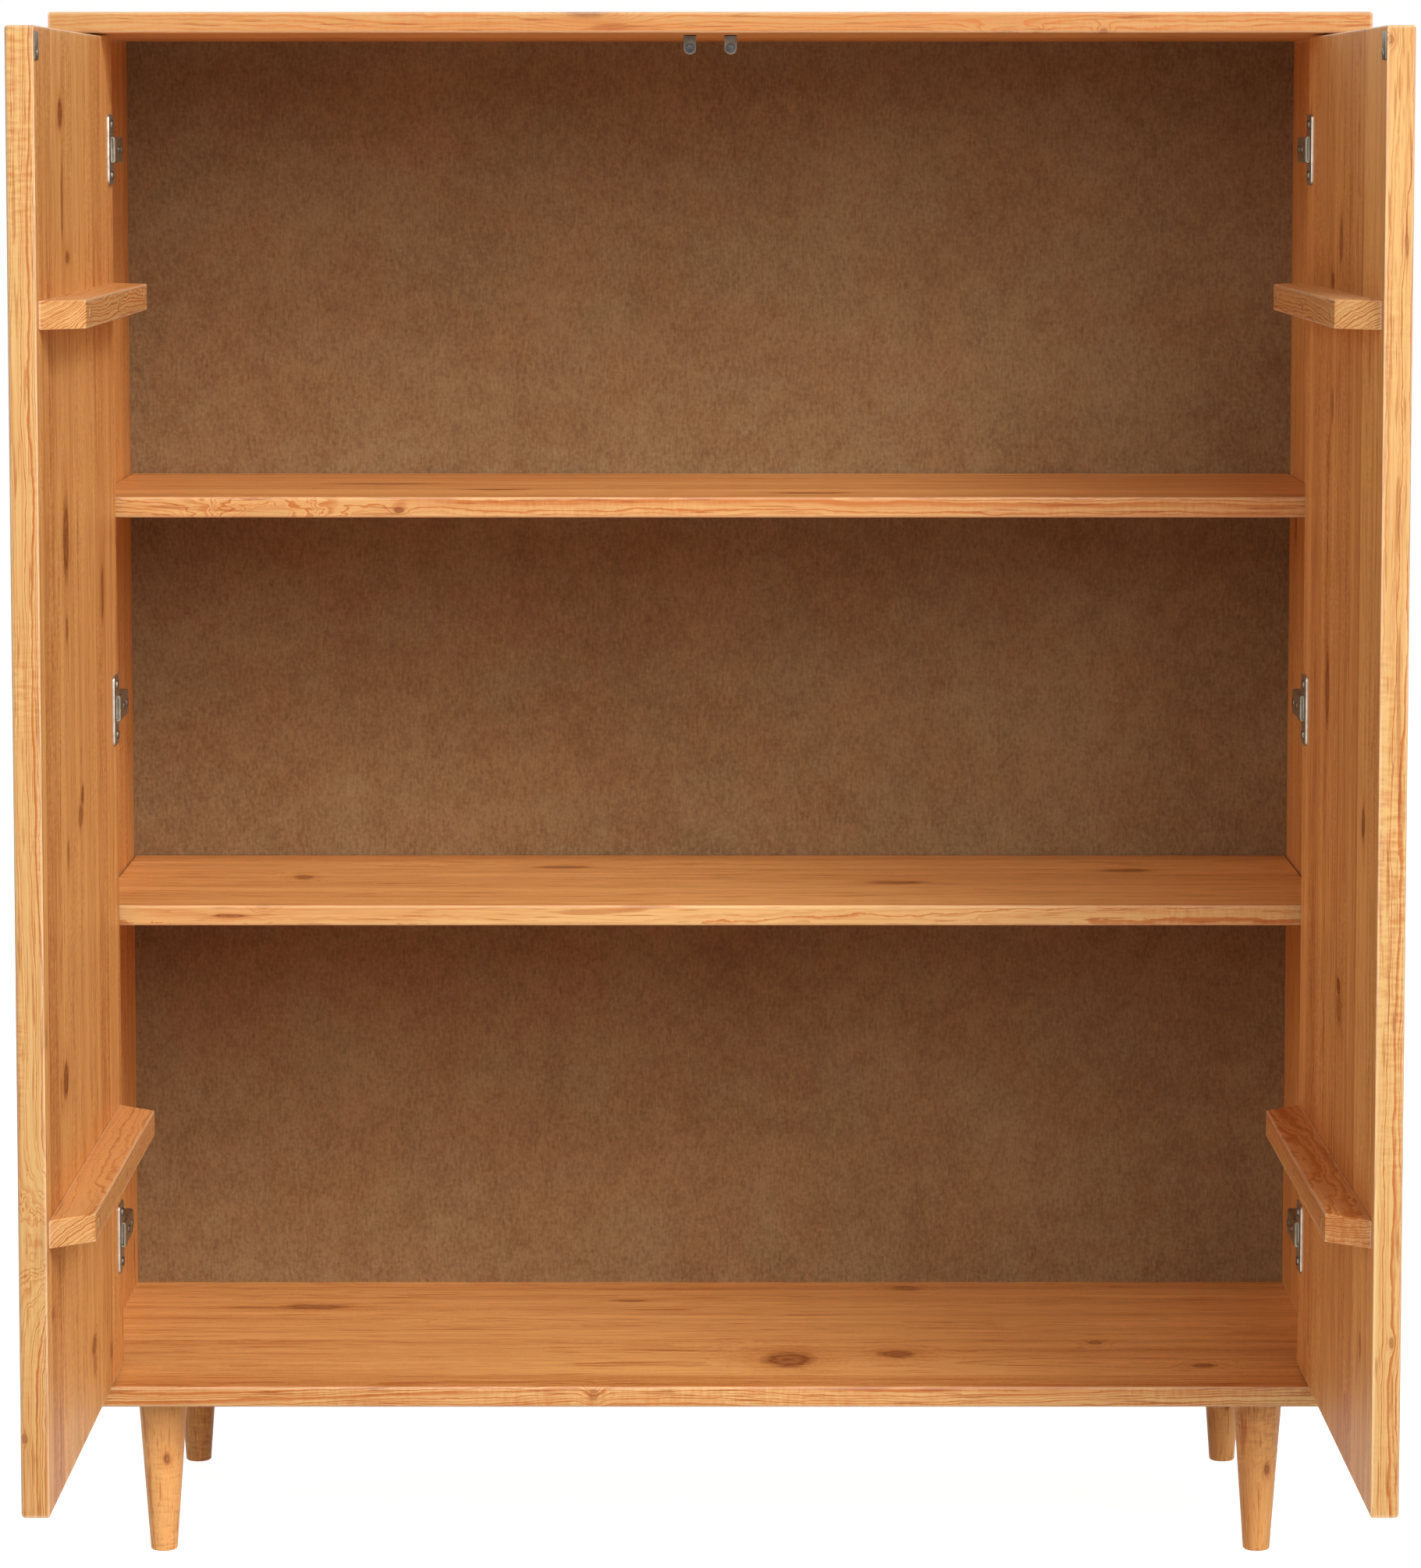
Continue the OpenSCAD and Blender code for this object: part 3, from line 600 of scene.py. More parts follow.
@dataclass(frozen=True)
class PineFinish:
    """Oiled pine: its colours, the width of its staves and the strength of its figure."""

    early: Colour = srgb(242, 179, 105)
    late: Colour = srgb(184, 106, 47)
    edge: Colour = srgb(214, 170, 107)
    knot: Colour = srgb(132, 62, 22)
    stave: float = 0.062
    pith_depth: float = 0.07
    ring_gap: float = 0.0025
    contrast: float = 0.72
    # Strength of the curl ripple, partly a painted sheen.
    ripple: float = 1.4
    fibre: float = 1.1
    wander: float = 0.034
    gloss: float = 0.28
    relief: float = 0.16
    relief_height: float = 0.0006

    def material(self, effects: Effects, name: str, grain: Grain, box: tuple[Vector, Vector],
                 seed: float, knots: Sequence[Knot] = ()) -> Material:
        """Makes the timber of one piece.

        Args:
            effects: The shared shader groups.
            name: The material's name.
            grain: The way that the fibres run.
            box: The lowest and highest corner of the piece.
            seed: Picks the piece's own staves.
            knots: The knots of the piece.

        Returns:
            The material.
        """
        material, graph, shader = new_material(name)
        middle, half = (box[0] + box[1]) / 2, (box[1] - box[0]) / 2
        turn = grain.value.to_matrix()
        place = graph.add("Mapping", {
            "Vector": graph.add("TexCoord").outputs["Object"],
            "Location": tuple(-(turn @ middle)), "Rotation": tuple(grain.value),
        }).outputs[0]
        marks: dict[str, Feed] = {"Core": 0.0, "Halo": 0.0, "Swirl": 0.0}
        warp = graph.noise(place, (70.0, 170.0, 170.0), output="Color") if knots else self.knot
        for knot in knots:
            feeds = {"Vector": place, "Warp": warp, **marks, **knot.feeds(turn, middle)}
            node = graph.add("Group", feeds, node_tree=effects.knot)
            marks = {label: node.outputs[label] for label in marks}
        feeds = {"Vector": place, "Width": self.stave, "Seed": seed, "Depth": self.pith_depth,
                 "Gap": self.ring_gap, "Wander": self.wander, "Swirl": marks.pop("Swirl")}
        figure = graph.add("Group", feeds, node_tree=effects.figure)
        feeds = {"Vector": place, "Half": tuple(abs(axis) for axis in turn @ half)}
        arris = graph.add("Group", feeds, node_tree=effects.arris)
        feeds = {**figure.outputs, **arris.outputs, **marks, "Contrast": self.contrast,
                 "Ripple": self.ripple, "Fibre": self.fibre, "Early": self.early,
                 "Late": self.late, "Edge": self.edge, "Knot": self.knot}
        look = graph.add("Group", feeds, node_tree=effects.timber)
        shader.inputs["Specular IOR Level"].default_value = self.gloss
        surface(graph, shader, look, self.relief, self.relief_height)
        return material


@dataclass(frozen=True)
class MetalFinish:
    """Plated or brushed steel."""

    name: str
    dull: Colour
    bright: Colour
    roughness: float = 0.24
    relief: float = 0.05
    relief_height: float = 0.0001

    def material(self, effects: Effects) -> Material:
        """Makes the material.

        Args:
            effects: The shared shader groups.

        Returns:
            The material.
        """
        material, graph, shader = new_material(self.name)
        feeds = {"Vector": graph.add("TexCoord").outputs["Object"], "Dull": self.dull,
                 "Bright": self.bright, "Roughness": self.roughness}
        look = graph.add("Group", feeds, node_tree=effects.brushed)
        shader.inputs["Metallic"].default_value = 1.0
        surface(graph, shader, look, self.relief, self.relief_height)
        return material


@dataclass(frozen=True)
class HardboardFinish:
    """Brown hardboard: pressed fibres in soft clouds."""

    low: Colour = srgb(112, 82, 52)
    high: Colour = srgb(160, 134, 96)
    red: Colour = (1.0, 0.91, 0.87)
    gloss: float = 0.12
    relief: float = 0.25
    relief_height: float = 0.0004

    def material(self, name: str) -> Material:
        """Makes the material.

        Args:
            name: The material's name.

        Returns:
            The material.
        """
        material, graph, shader = new_material(name)
        place = graph.add("TexCoord").outputs["Object"]
        cloud = graph.noise(place, 7.0, 3.0, 0.6)
        patch = graph.noise(place, 42.0, 3.0, 0.6)
        fleck = graph.noise(place, 330.0, 3.0, 0.7)
        strand = graph.noise(place, (520.0, 520.0, 130.0))
        depth = graph.scaled(cloud, 0.35, graph.times(patch, 0.35))
        depth = graph.scaled(fleck, 0.7, depth)
        depth = graph.scaled(strand, 0.5, depth)
        colour = graph.blend(graph.span(depth, 0.52, 1.38), self.low, self.high)
        warm = graph.span(graph.noise(place, 17.0, 4.0, 0.65), 0.36, 0.62)
        colour = graph.blend(warm, colour, self.red, "MULTIPLY")
        feeds = {"Height": fleck, "Strength": self.relief, "Distance": self.relief_height}
        bump = graph.add("Bump", feeds)
        graph.feed(shader.inputs["Base Color"], colour)
        graph.feed(shader.inputs["Roughness"], graph.scaled(fleck, 0.2, 0.55))
        graph.feed(shader.inputs["Normal"], bump.outputs[0])
        shader.inputs["Specular IOR Level"].default_value = self.gloss
        return material


NICKEL = MetalFinish("nickel_plate", srgb(168, 162, 148), srgb(206, 202, 190), 0.32)
BRACKET = MetalFinish("bracket_plate", srgb(152, 142, 120), srgb(186, 176, 152), 0.34)
ZINC = MetalFinish("zinc_plate", srgb(128, 126, 122), srgb(176, 174, 170), 0.3)
STEEL = MetalFinish("dull_steel", srgb(98, 92, 82), srgb(134, 127, 115), 0.36)
MAGNET = MetalFinish("magnet_face", srgb(74, 75, 76), srgb(106, 107, 108), 0.4)
PINE = PineFinish()
SHELF_PINE = PineFinish(early=srgb(249, 188, 114), late=srgb(196, 118, 55),
                        edge=srgb(229, 184, 120), contrast=0.6, ripple=0.4)
# Lit and shaded copies of the shelf pine: the top board's edges are painted darker as shade, the
# bottom board's edges lighter as light.
TOP_PINE_SHADED_EDGE = replace(SHELF_PINE, edge=srgb(203, 154, 95))
BOTTOM_PINE_LIT_EDGE = replace(SHELF_PINE, edge=srgb(240, 202, 137))
CLEAT_PINE = PineFinish(early=srgb(232, 172, 106), edge=srgb(220, 166, 104), stave=0.4,
                        pith_depth=0.2, ring_gap=0.0019, contrast=1.3, fibre=0.2, wander=0.02)
LEG_PINE = PineFinish(early=srgb(240, 176, 106), late=srgb(202, 128, 66),
                      edge=srgb(240, 176, 106), stave=0.3, ring_gap=0.0016, contrast=0.26,
                      wander=0.012)
PLUG_PINE = PineFinish(early=srgb(206, 150, 92), late=srgb(164, 104, 56), stave=0.3,
                       ring_gap=0.0012)
BEECH = PineFinish(early=srgb(224, 196, 156), late=srgb(196, 160, 116),
                   edge=srgb(224, 196, 156), stave=0.3, contrast=0.25)


# Meshes and screws


NEAR = 1e-5
MERGED = 1e-6


def at(x: float, y: float, z: float) -> Matrix:
    """Gives the move to a place."""
    return Matrix.Translation((x, y, z))


def turned(axis: str, quarters: int) -> Matrix:
    """Gives a turn about an axis by quarter turns."""
    return Matrix.Rotation(quarters * math.pi / 2, 4, axis)


def middle_of(node: str) -> Vector:
    """Gives the middle of a node's box."""
    low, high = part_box(node)
    return (low + high) / 2


class Shaper:
    """Shapes one piece with bmesh operators."""

    def __init__(self) -> None:
        """Starts an empty bmesh."""
        self.bm = bmesh.new()

    def block(self, low: Sequence[float], high: Sequence[float]) -> list[BMVert]:
        """Adds a block.

        Args:
            low: Its lowest corner.
            high: Its highest corner.

        Returns:
            Its vertices.
        """
        low_corner, high_corner = Vector(low), Vector(high)
        size = high_corner - low_corner
        matrix = Matrix.Translation((low_corner + high_corner) / 2) @ Matrix.Diagonal((*size, 1))
        return bmesh.ops.create_cube(self.bm, size=1.0, matrix=matrix)["verts"]

    def rod(self, radius: float, low: float, high: float, sides: int = 24) -> None:
        """Adds a closed round rod about Z between two heights."""
        bmesh.ops.create_cone(self.bm, cap_ends=True, segments=sides, radius1=radius,
                              radius2=radius, depth=high - low, matrix=at(0, 0, (low + high) / 2))

    def sheet(self, *corners: Point) -> list[BMVert]:
        """Adds one face.

        Args:
            *corners: Its corners.

        Returns:
            Its vertices.
        """
        verts = [self.bm.verts.new(corner) for corner in corners]
        self.bm.faces.new(verts)
        return verts

    def ease(self, parts: Iterable[BMEdge | BMVert], radius: float, segments: int = 3) -> None:
        """Rounds edges, or the corners of a sheet.

        Args:
            parts: The edges or the corners.
            radius: Radius of the rounding.
            segments: Number of its steps.
        """
        geom = list(parts)
        affect = "VERTICES" if any(isinstance(g, BMVert) for g in geom) else "EDGES"
        bmesh.ops.bevel(self.bm, geom=geom, offset=radius, affect=affect, segments=segments,
                        profile=0.5, material=-1)

    def cut(self, axis: int, *places: float) -> None:
        """Cuts the whole mesh by planes across one axis."""
        normal = Vector([float(axis == i) for i in range(3)])
        for place in places:
            geom = [*self.bm.verts, *self.bm.edges, *self.bm.faces]
            bmesh.ops.bisect_plane(self.bm, geom=geom, plane_co=normal * place, plane_no=normal)

    def sharp(self, angle: float = 0.6) -> list[BMEdge]:
        """Gives the edges whose faces meet at more than an angle."""
        return [e for e in self.bm.edges if e.is_manifold and e.calc_face_angle(0.0) > angle]

    def pull(self, faces: Iterable[BMFace], offset: Point) -> None:
        """Extrudes faces as one region.

        Args:
            faces: The faces.
            offset: How far they move.
        """
        old = list(faces)
        made = bmesh.ops.extrude_face_region(self.bm, geom=old)["geom"]
        verts = [g for g in made if isinstance(g, BMVert)]
        bmesh.ops.translate(self.bm, verts=verts, vec=offset)
        left = [f for f in old if f.is_valid]
        if left:
            bmesh.ops.delete(self.bm, geom=left, context="FACES_ONLY")

    def extend(self, edges: Iterable[BMEdge], offset: Point = (0.0, 0.0, 0.0)) -> list[BMVert]:
        """Extrudes edges.

        Args:
            edges: The edges.
            offset: How far the new ones move.

        Returns:
            The new vertices.
        """
        made = bmesh.ops.extrude_edge_only(self.bm, edges=list(edges))["geom"]
        verts = [g for g in made if isinstance(g, BMVert)]
        bmesh.ops.translate(self.bm, verts=verts, vec=offset)
        return verts

    def grow(self, edges: Iterable[BMEdge], scale: float, lift: float) -> list[BMEdge]:
        """Extrudes a loop about Z, scales it and lifts it.

        Args:
            edges: The loop.
            scale: The new loop's size as a share of the old one's.
            lift: Distance that the new loop moves along Z.

        Returns:
            The edges of the new loop.
        """
        verts = self.extend(edges, (0.0, 0.0, lift))
        bmesh.ops.scale(self.bm, vec=(scale, scale, 1.0), verts=verts)
        kept = set(verts)
        return [e for e in self.bm.edges if kept.issuperset(e.verts)]

    def thicken(self, wall: float) -> None:
        """Gives a sheet a wall behind its faces."""
        bmesh.ops.solidify(self.bm, geom=list(self.bm.faces), thickness=wall)

    def stamp(self, matrices: Iterable[Matrix]) -> Shaper:
        """Repeats the shape.

        Args:
            matrices: The places of its copies.

        Returns:
            A new shaper that holds the copies.
        """
        mesh = bpy.data.meshes.new("stamp")
        self.bm.to_mesh(mesh)
        copies = Shaper()
        for matrix in matrices:
            before = set(copies.bm.verts)
            copies.bm.from_mesh(mesh)
            fresh = [v for v in copies.bm.verts if v not in before]
            bmesh.ops.transform(copies.bm, matrix=matrix, verts=fresh)
        bpy.data.meshes.remove(mesh)
        return copies

    def piece(self, name: str, material: Material, smooth: float = 40.0) -> bpy.types.Object:
        """Closes the work and makes the piece's object.

        Args:
            name: The piece's name.
            material: Its material.
            smooth: Edges that turn by less than these degrees are shaded smooth.

        Returns:
            The object, at the origin.
        """
        bmesh.ops.remove_doubles(self.bm, verts=self.bm.verts, dist=MERGED)
        bmesh.ops.recalc_face_normals(self.bm, faces=self.bm.faces)
        mesh = bpy.data.meshes.new(name)
        self.bm.to_mesh(mesh)
        self.bm.free()
        mesh.polygons.foreach_set("use_smooth", [True] * len(mesh.polygons))
        mesh.set_sharp_from_angle(angle=math.radians(smooth))
        mesh.materials.append(material)
        made = bpy.data.objects.new(name, mesh)
        bpy.context.scene.collection.objects.link(made)
        return made


class Side(Enum):
    """A side of the highboard, seen from the front."""

    LEFT = -1
    RIGHT = 1

    @property
    def label(self) -> str:
        """The word that the nodes' names start with."""
        return self.name.lower()

    @property
    def inwards(self) -> Matrix:
        """The turn that lays Z away from this side's panel, towards the other side."""
        return turned("Y", -self.value)


@dataclass(frozen=True)
class Screw:
    """A pan-head screw with a cross recess, pointing down, its head standing on Z = 0."""

    shank: float
    head: float
    rise: float
    length: float
    recess_reach: float = 0.27
    recess_half: float = 0.06
    flat: float = 0.66
    shoulder: float = 0.891

    def shape(self) -> Shaper:
        """Models the screw.

        Returns:
            The shaper that holds it.
        """
        s = Shaper()
        bmesh.ops.create_circle(s.bm, segments=24, radius=self.head / 2 * self.flat,
                                matrix=at(0, 0, self.rise))
        outer = list(s.bm.edges)
        arm, half = self.head * self.recess_reach, self.head * self.recess_half
        corners = [(half, half), (half, arm), (-half, arm)]
        for _ in range(3):
            corners += [(-y, x) for x, y in corners[-3:]]
        cross = [s.bm.verts.new((x, y, self.rise)) for x, y in corners]
        inner = [s.bm.edges.new((cross[i - 1], cross[i])) for i in range(len(cross))]
        bmesh.ops.bridge_loops(s.bm, edges=outer + inner)
        bmesh.ops.contextual_create(s.bm, geom=s.grow(inner, 0.55, -self.rise * 0.7))
        loop = outer
        for scale, drop in (
            (self.shoulder / self.flat, self.rise * 0.16),
            (1.0 / self.shoulder, self.rise * 0.36),
            (1.0, self.rise * 0.48),
            (self.shank / self.head, 0.0),
            (1.0, self.length * 0.8),
            (0.12, self.length * 0.2),
        ):
            loop = s.grow(loop, scale, -drop)
        bmesh.ops.contextual_create(s.bm, geom=loop)
        return s


# The highboard

HINGE_LEVELS = ("upper", "middle", "lower")


@dataclass
class Kit:
    """What every sub-assembly needs: the frame, the shared effects and the metals."""

    frame: dict[str, Any]
    effects: Effects
    nickel: Material
    bracket: Material
    zinc: Material
    steel: Material
    magnet: Material
    front: float

    def dress(self, node: str, material: Material) -> None:
        """Gives a node of the frame its material.

        Args:
            node: The node.
            material: Its material.
        """
        shown = self.frame["nodes"][node]
        for slot in shown.material_slots:
            slot.material = material
        LOG.info("dressed %s in %s", node, material.name)

    def timber(self, node: str, finish: PineFinish, grain: Grain, seed: float,
               knots: Sequence[Knot] = ()) -> Material:
        """Makes the timber of a node from its own box."""
        return finish.material(self.effects, f"pine_{node}", grain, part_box(node), seed, knots)

    def stand_in(self, piece: bpy.types.Object, node: str, body: str, slot: str) -> None:
        """Lets a piece ride on a body and stand for a node.

        Args:
            piece: The piece.
            node: The node that it stands for.
            body: The body that it rides on.
            slot: Not used.
        """
        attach(piece, body)
        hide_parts(node)
        LOG.info("%s stands for %s", piece.name, node)

    def screws(self, screw: Screw, places: Iterable[Matrix], name: str, node: str,
               body: str = "carcass", metal: Material | None = None) -> None:
        """Models a screw at each place, as one piece that stands for a node.

        Args:
            screw: The screw.
            places: Where its head sits.
            name: The piece's name.
            node: The node that it stands for.
            body: The body that it rides on.
            metal: Its material, zinc plate unless given.
        """
        made = screw.shape().stamp(places).piece(name, metal or self.zinc)
        self.stand_in(made, node, body, "screw_steel")


def scatter(seed: int, low: Point, high: Point, count: int) -> list[Knot]:
    """Spreads upright knots over a panel that faces sideways.

    Args:
        seed: Picks the places.
        low: The lowest corner that a knot's middle may have.
        high: The highest corner that it may have.
        count: Number of knots.

    Returns:
        The knots.
    """
    dice = random.Random(seed)
    made = []
    for _ in range(count):
        x, y, z = (dice.uniform(a, b) for a, b in zip(low, high))
        across = dice.uniform(0.003, 0.009)
        made.append(Knot(x, y, z, across * dice.uniform(1.4, 2.6), across,
                         dark=dice.uniform(0.55, 0.85), push=dice.uniform(0.003, 0.009)))
    return made


@dataclass
class Carcass:
    """The boards of the carcass, its back, its dowels and the shelves with their pins."""

    kit: Kit
    pin_dia: float = 0.005
    collar_dia: float = 0.0075
    collar: float = 0.0012
    pin_inset: float = 0.04
    pin_show: float = 0.9
    pin_ease: float = 0.0006

    def build(self) -> None:
        """Dresses the boards and makes the shelf pins."""
        self.boards()
        self.sides()
        self.shelves()
        self.pins()
        self.kit.dress("back_panel", HardboardFinish().material("hardboard"))
        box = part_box("carcass_dowels")
        beech = BEECH.material(self.kit.effects, "beech_dowels", Grain.UPRIGHT, box, 3.0)
        self.kit.dress("carcass_dowels", beech)

    def boards(self) -> None:
        """Dresses the top and the bottom board, the top board's edges with painted shade and the
        bottom board's with painted light.
        """
        f = self.kit.front
        top = [
            Knot(-0.094, f, 1.199, 0.02, 0.03, 0.006, 0.7, 0.02),
            Knot(0.222, f, 1.181, 0.012, 0.02, 0.004, 0.4, 0.014),
            Knot(0.297, f, 1.183, 0.004, 0.012, 0.003, 0.7, 0.006),
            Knot(0.246, f, 1.181, 0.004, 0.012, 0.003, 0.5, 0.006),
            Knot(-0.3, f + 0.22, 1.19, 0.02, 0.014, dark=0.8, push=0.016),
            Knot(0.36, f + 0.14, 1.19, 0.014, 0.011, dark=0.75, push=0.01),
            Knot(0.05, f + 0.31, 1.19, 0.03, 0.006, dark=0.6, push=0.003),
        ]
        bottom = [
            Knot(-0.327, f + 0.285, 0.134, 0.034, 0.012, dark=0.75, push=0.01),
            Knot(-0.375, f + 0.283, 0.134, 0.03, 0.004, dark=0.5),
            Knot(0.062, f + 0.093, 0.134, 0.024, 0.032, dark=0.85, push=0.024),
            Knot(0.148, f + 0.112, 0.134, 0.017, 0.016, dark=0.8, push=0.014),
            Knot(0.163, f + 0.356, 0.134, 0.015, 0.012, dark=0.6, push=0.008),
            Knot(-0.065, f + 0.308, 0.134, 0.018, 0.005, dark=0.7),
            Knot(0.388, f + 0.072, 0.134, 0.012, 0.009, dark=0.8, push=0.012),
            Knot(0.308, f + 0.153, 0.134, 0.007, 0.009, dark=0.6, push=0.008),
            Knot(-0.09, f, 0.136, 0.005, 0.01, 0.006, 0.5, 0.007),
        ]
        for node, finish, seed, knots in (("top_board", TOP_PINE_SHADED_EDGE, 11.3, top),
                                          ("bottom_board", BOTTOM_PINE_LIT_EDGE, 27.6, bottom)):
            self.kit.dress(node, self.kit.timber(node, finish, Grain.ALONG_X, seed, knots))

    def sides(self) -> None:
        """Dresses the side panels."""
        for side in Side:
            node = f"{side.label}_side_panel"
            low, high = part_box(node)
            knots = scatter(41 + side.value, tuple(low), tuple(high), 7)
            timber = self.kit.timber(node, PINE, Grain.UPRIGHT, 33.1 + 7 * side.value, knots)
            self.kit.dress(node, timber)

    def shelves(self) -> None:
        """Dresses the two shelves."""
        f = self.kit.front + 0.085
        upper = [
            Knot(-0.346, f, 0.807, 0.03, 0.03, 0.011, 0.12, 0.03),
            Knot(-0.242, f, 0.815, 0.005, 0.01, 0.003, 0.9, 0.006),
            Knot(-0.26, f + 0.16, 0.817, 0.06, 0.012, dark=0.7),
            Knot(-0.17, f + 0.09, 0.817, 0.03, 0.008, dark=0.9),
            Knot(0.08, f + 0.05, 0.817, 0.036, 0.01, dark=0.85, push=0.006),
        ]
        lower = [
            Knot(-0.376, f, 0.497, 0.018, 0.01, 0.0015, 0.95),
            Knot(-0.33, f + 0.16, 0.497, 0.01, 0.014, dark=0.75, push=0.016),
            Knot(-0.35, f, 0.506, 0.006, 0.012, 0.004, 0.2, 0.01),
            Knot(0.15, f + 0.13, 0.497, 0.032, 0.01, dark=0.75),
            Knot(0.34, f + 0.2, 0.497, 0.024, 0.012, dark=0.75, push=0.006),
            Knot(-0.12, f + 0.22, 0.497, 0.03, 0.01, dark=0.7),
        ]
        for node, seed, knots in (("upper_shelf", 52.8, upper), ("lower_shelf", 64.2, lower)):
            self.kit.dress(node, self.kit.timber(node, SHELF_PINE, Grain.ALONG_X, seed, knots))

    def pins(self) -> None:
        """Models the shelf pins: a collar against the side panel and a rounded nose."""
        shelf_low, shelf_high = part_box("upper_shelf")
        reach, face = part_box("shelf_pins")[1].x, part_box("right_side_panel")[0].x
        s = Shaper()
        s.rod(self.pin_dia / 2, face - (reach - face) * self.pin_show, reach)
        s.ease(s.sharp(1.2), self.pin_ease)
        s.rod(self.collar_dia / 2, face - self.collar, face)
        places = []
        for side in Side:
            for shelf in ("upper_shelf", "lower_shelf"):
                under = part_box(shelf)[0].z - self.pin_dia / 2
                for y in (shelf_low.y + self.pin_inset, shelf_high.y - self.pin_inset):
                    places.append(Matrix.Diagonal((side.value, 1, 1, 1)) @ at(0, y, under)
                                  @ turned("Y", 1))
        pins = s.stamp(places).piece("shelf_pin_set", self.kit.nickel)
        self.kit.stand_in(pins, "shelf_pins", "carcass", "screw_steel")


@dataclass
class Legs:
    """The turned legs, their plates, bolts and screws."""

    kit: Kit
    screw: Screw = Screw(0.004, 0.007, 0.0016, 0.0145)
    screw_offset: float = 0.023

    def build(self) -> None:
        """Dresses the legs and plates and models the plates' screws."""
        spots = {"front_left": (0.004, 0.075), "front_right": (0.0067, 0.066),
                 "rear_left": (-0.006, 0.09), "rear_right": (0.003, 0.05)}
        offsets = (-self.screw_offset, self.screw_offset)
        heads = []
        for index, (place, (shift, height)) in enumerate(spots.items()):
            node = f"{place}_leg"
            low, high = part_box(node)
            x, y, _ = middle_of(node)
            knots = [
                Knot(x + shift, low.y, height, 0.007, 0.012, 0.004, 0.8, 0.006),
                Knot(x - shift, high.y, height + 0.03, 0.008, 0.008, 0.003, 0.5, 0.004),
            ]
            timber = self.kit.timber(node, LEG_PINE, Grain.UPRIGHT, 71.7 + 3.3 * index, knots)
            self.kit.dress(node, timber)
            heads += [at(x + along, y + across, high.z) @ turned("X", 2)
                      for along in offsets for across in offsets]
        self.kit.dress("leg_plates", self.kit.zinc)
        self.kit.dress("leg_bolts", self.kit.zinc)
        self.kit.screws(self.screw, heads, "leg_plate_screw_set", "leg_plate_screws")


@dataclass
class Catches:
    """The magnet catches under the top board: bent brackets, magnets and screws."""

    kit: Kit
    wall: float = 0.0015
    bend: float = 0.001
    foot_corner: float = 0.0015
    magnet_ease: float = 0.0004
    dish_rim: float = 0.0011
    dish: float = 0.0003
    screw: Screw = Screw(0.003, 0.0055, 0.0012, 0.0135)

    def build(self) -> None:
        """Models both brackets, the magnets and the screws."""
        heads = []
        discs = []
        for side in Side:
            low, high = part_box(f"{side.label}_catch_bracket")
            self.bracket(side, low, high)
            middle = (low.x + high.x) / 2
            foot = (low.y + self.wall + high.y) / 2
            heads.append(at(middle, foot, high.z - self.wall) @ turned("X", 2))
            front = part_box("catch_magnets")[0].y
            discs.append(at(middle, front, low.z + (high.x - low.x) / 2) @ turned("X", 1))
        self.kit.screws(self.screw, heads, "catch_screw_set", "catch_screws")
        self.magnets(discs)

    def bracket(self, side: Side, low: Vector, high: Vector) -> None:
        """Models one bracket: a foot, a bend and a tab with a round end.

        Args:
            side: The side that the bracket is on.
            low: Its lowest corner.
            high: Its highest corner.
        """
        s = Shaper()
        verts = s.sheet((low.x, low.y, high.z), (high.x, low.y, high.z),
                        (high.x, low.y, low.z), (low.x, low.y, low.z))
        foot = s.extend([s.bm.edges.get(verts[:2])], (0.0, high.y - low.y, 0.0))
        s.ease(verts[2:], (high.x - low.x) / 2 * 0.999, 12)
        s.ease(foot, self.foot_corner, 4)
        s.ease([e for e in s.bm.edges if e.is_manifold], self.bend, 5)
        bmesh.ops.recalc_face_normals(s.bm, faces=s.bm.faces)
        s.thicken(self.wall)
        made = s.piece(f"{side.label}_catch_tab", self.kit.steel)
        self.kit.stand_in(made, f"{side.label}_catch_bracket", "carcass", "hinge_steel")

    def magnets(self, places: Sequence[Matrix]) -> None:
        """Models the round magnets, each with an eased rim and a dished face.

        Args:
            places: Their faces, with Z to the front.
        """
        low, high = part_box("catch_magnets")
        s = Shaper()
        s.rod((high.z - low.z) / 2, low.y - high.y, 0.0, 40)
        s.ease(s.sharp(1.2), self.magnet_ease)
        face = max(s.bm.faces, key=lambda f: f.calc_center_median().z)
        bmesh.ops.inset_region(s.bm, faces=[face], thickness=self.dish_rim)
        bmesh.ops.translate(s.bm, verts=list(face.verts), vec=(0.0, 0.0, -self.dish))
        made = s.stamp(places).piece("catch_magnet_set", self.kit.magnet)
        self.kit.stand_in(made, "catch_magnets", "carcass", "magnet")


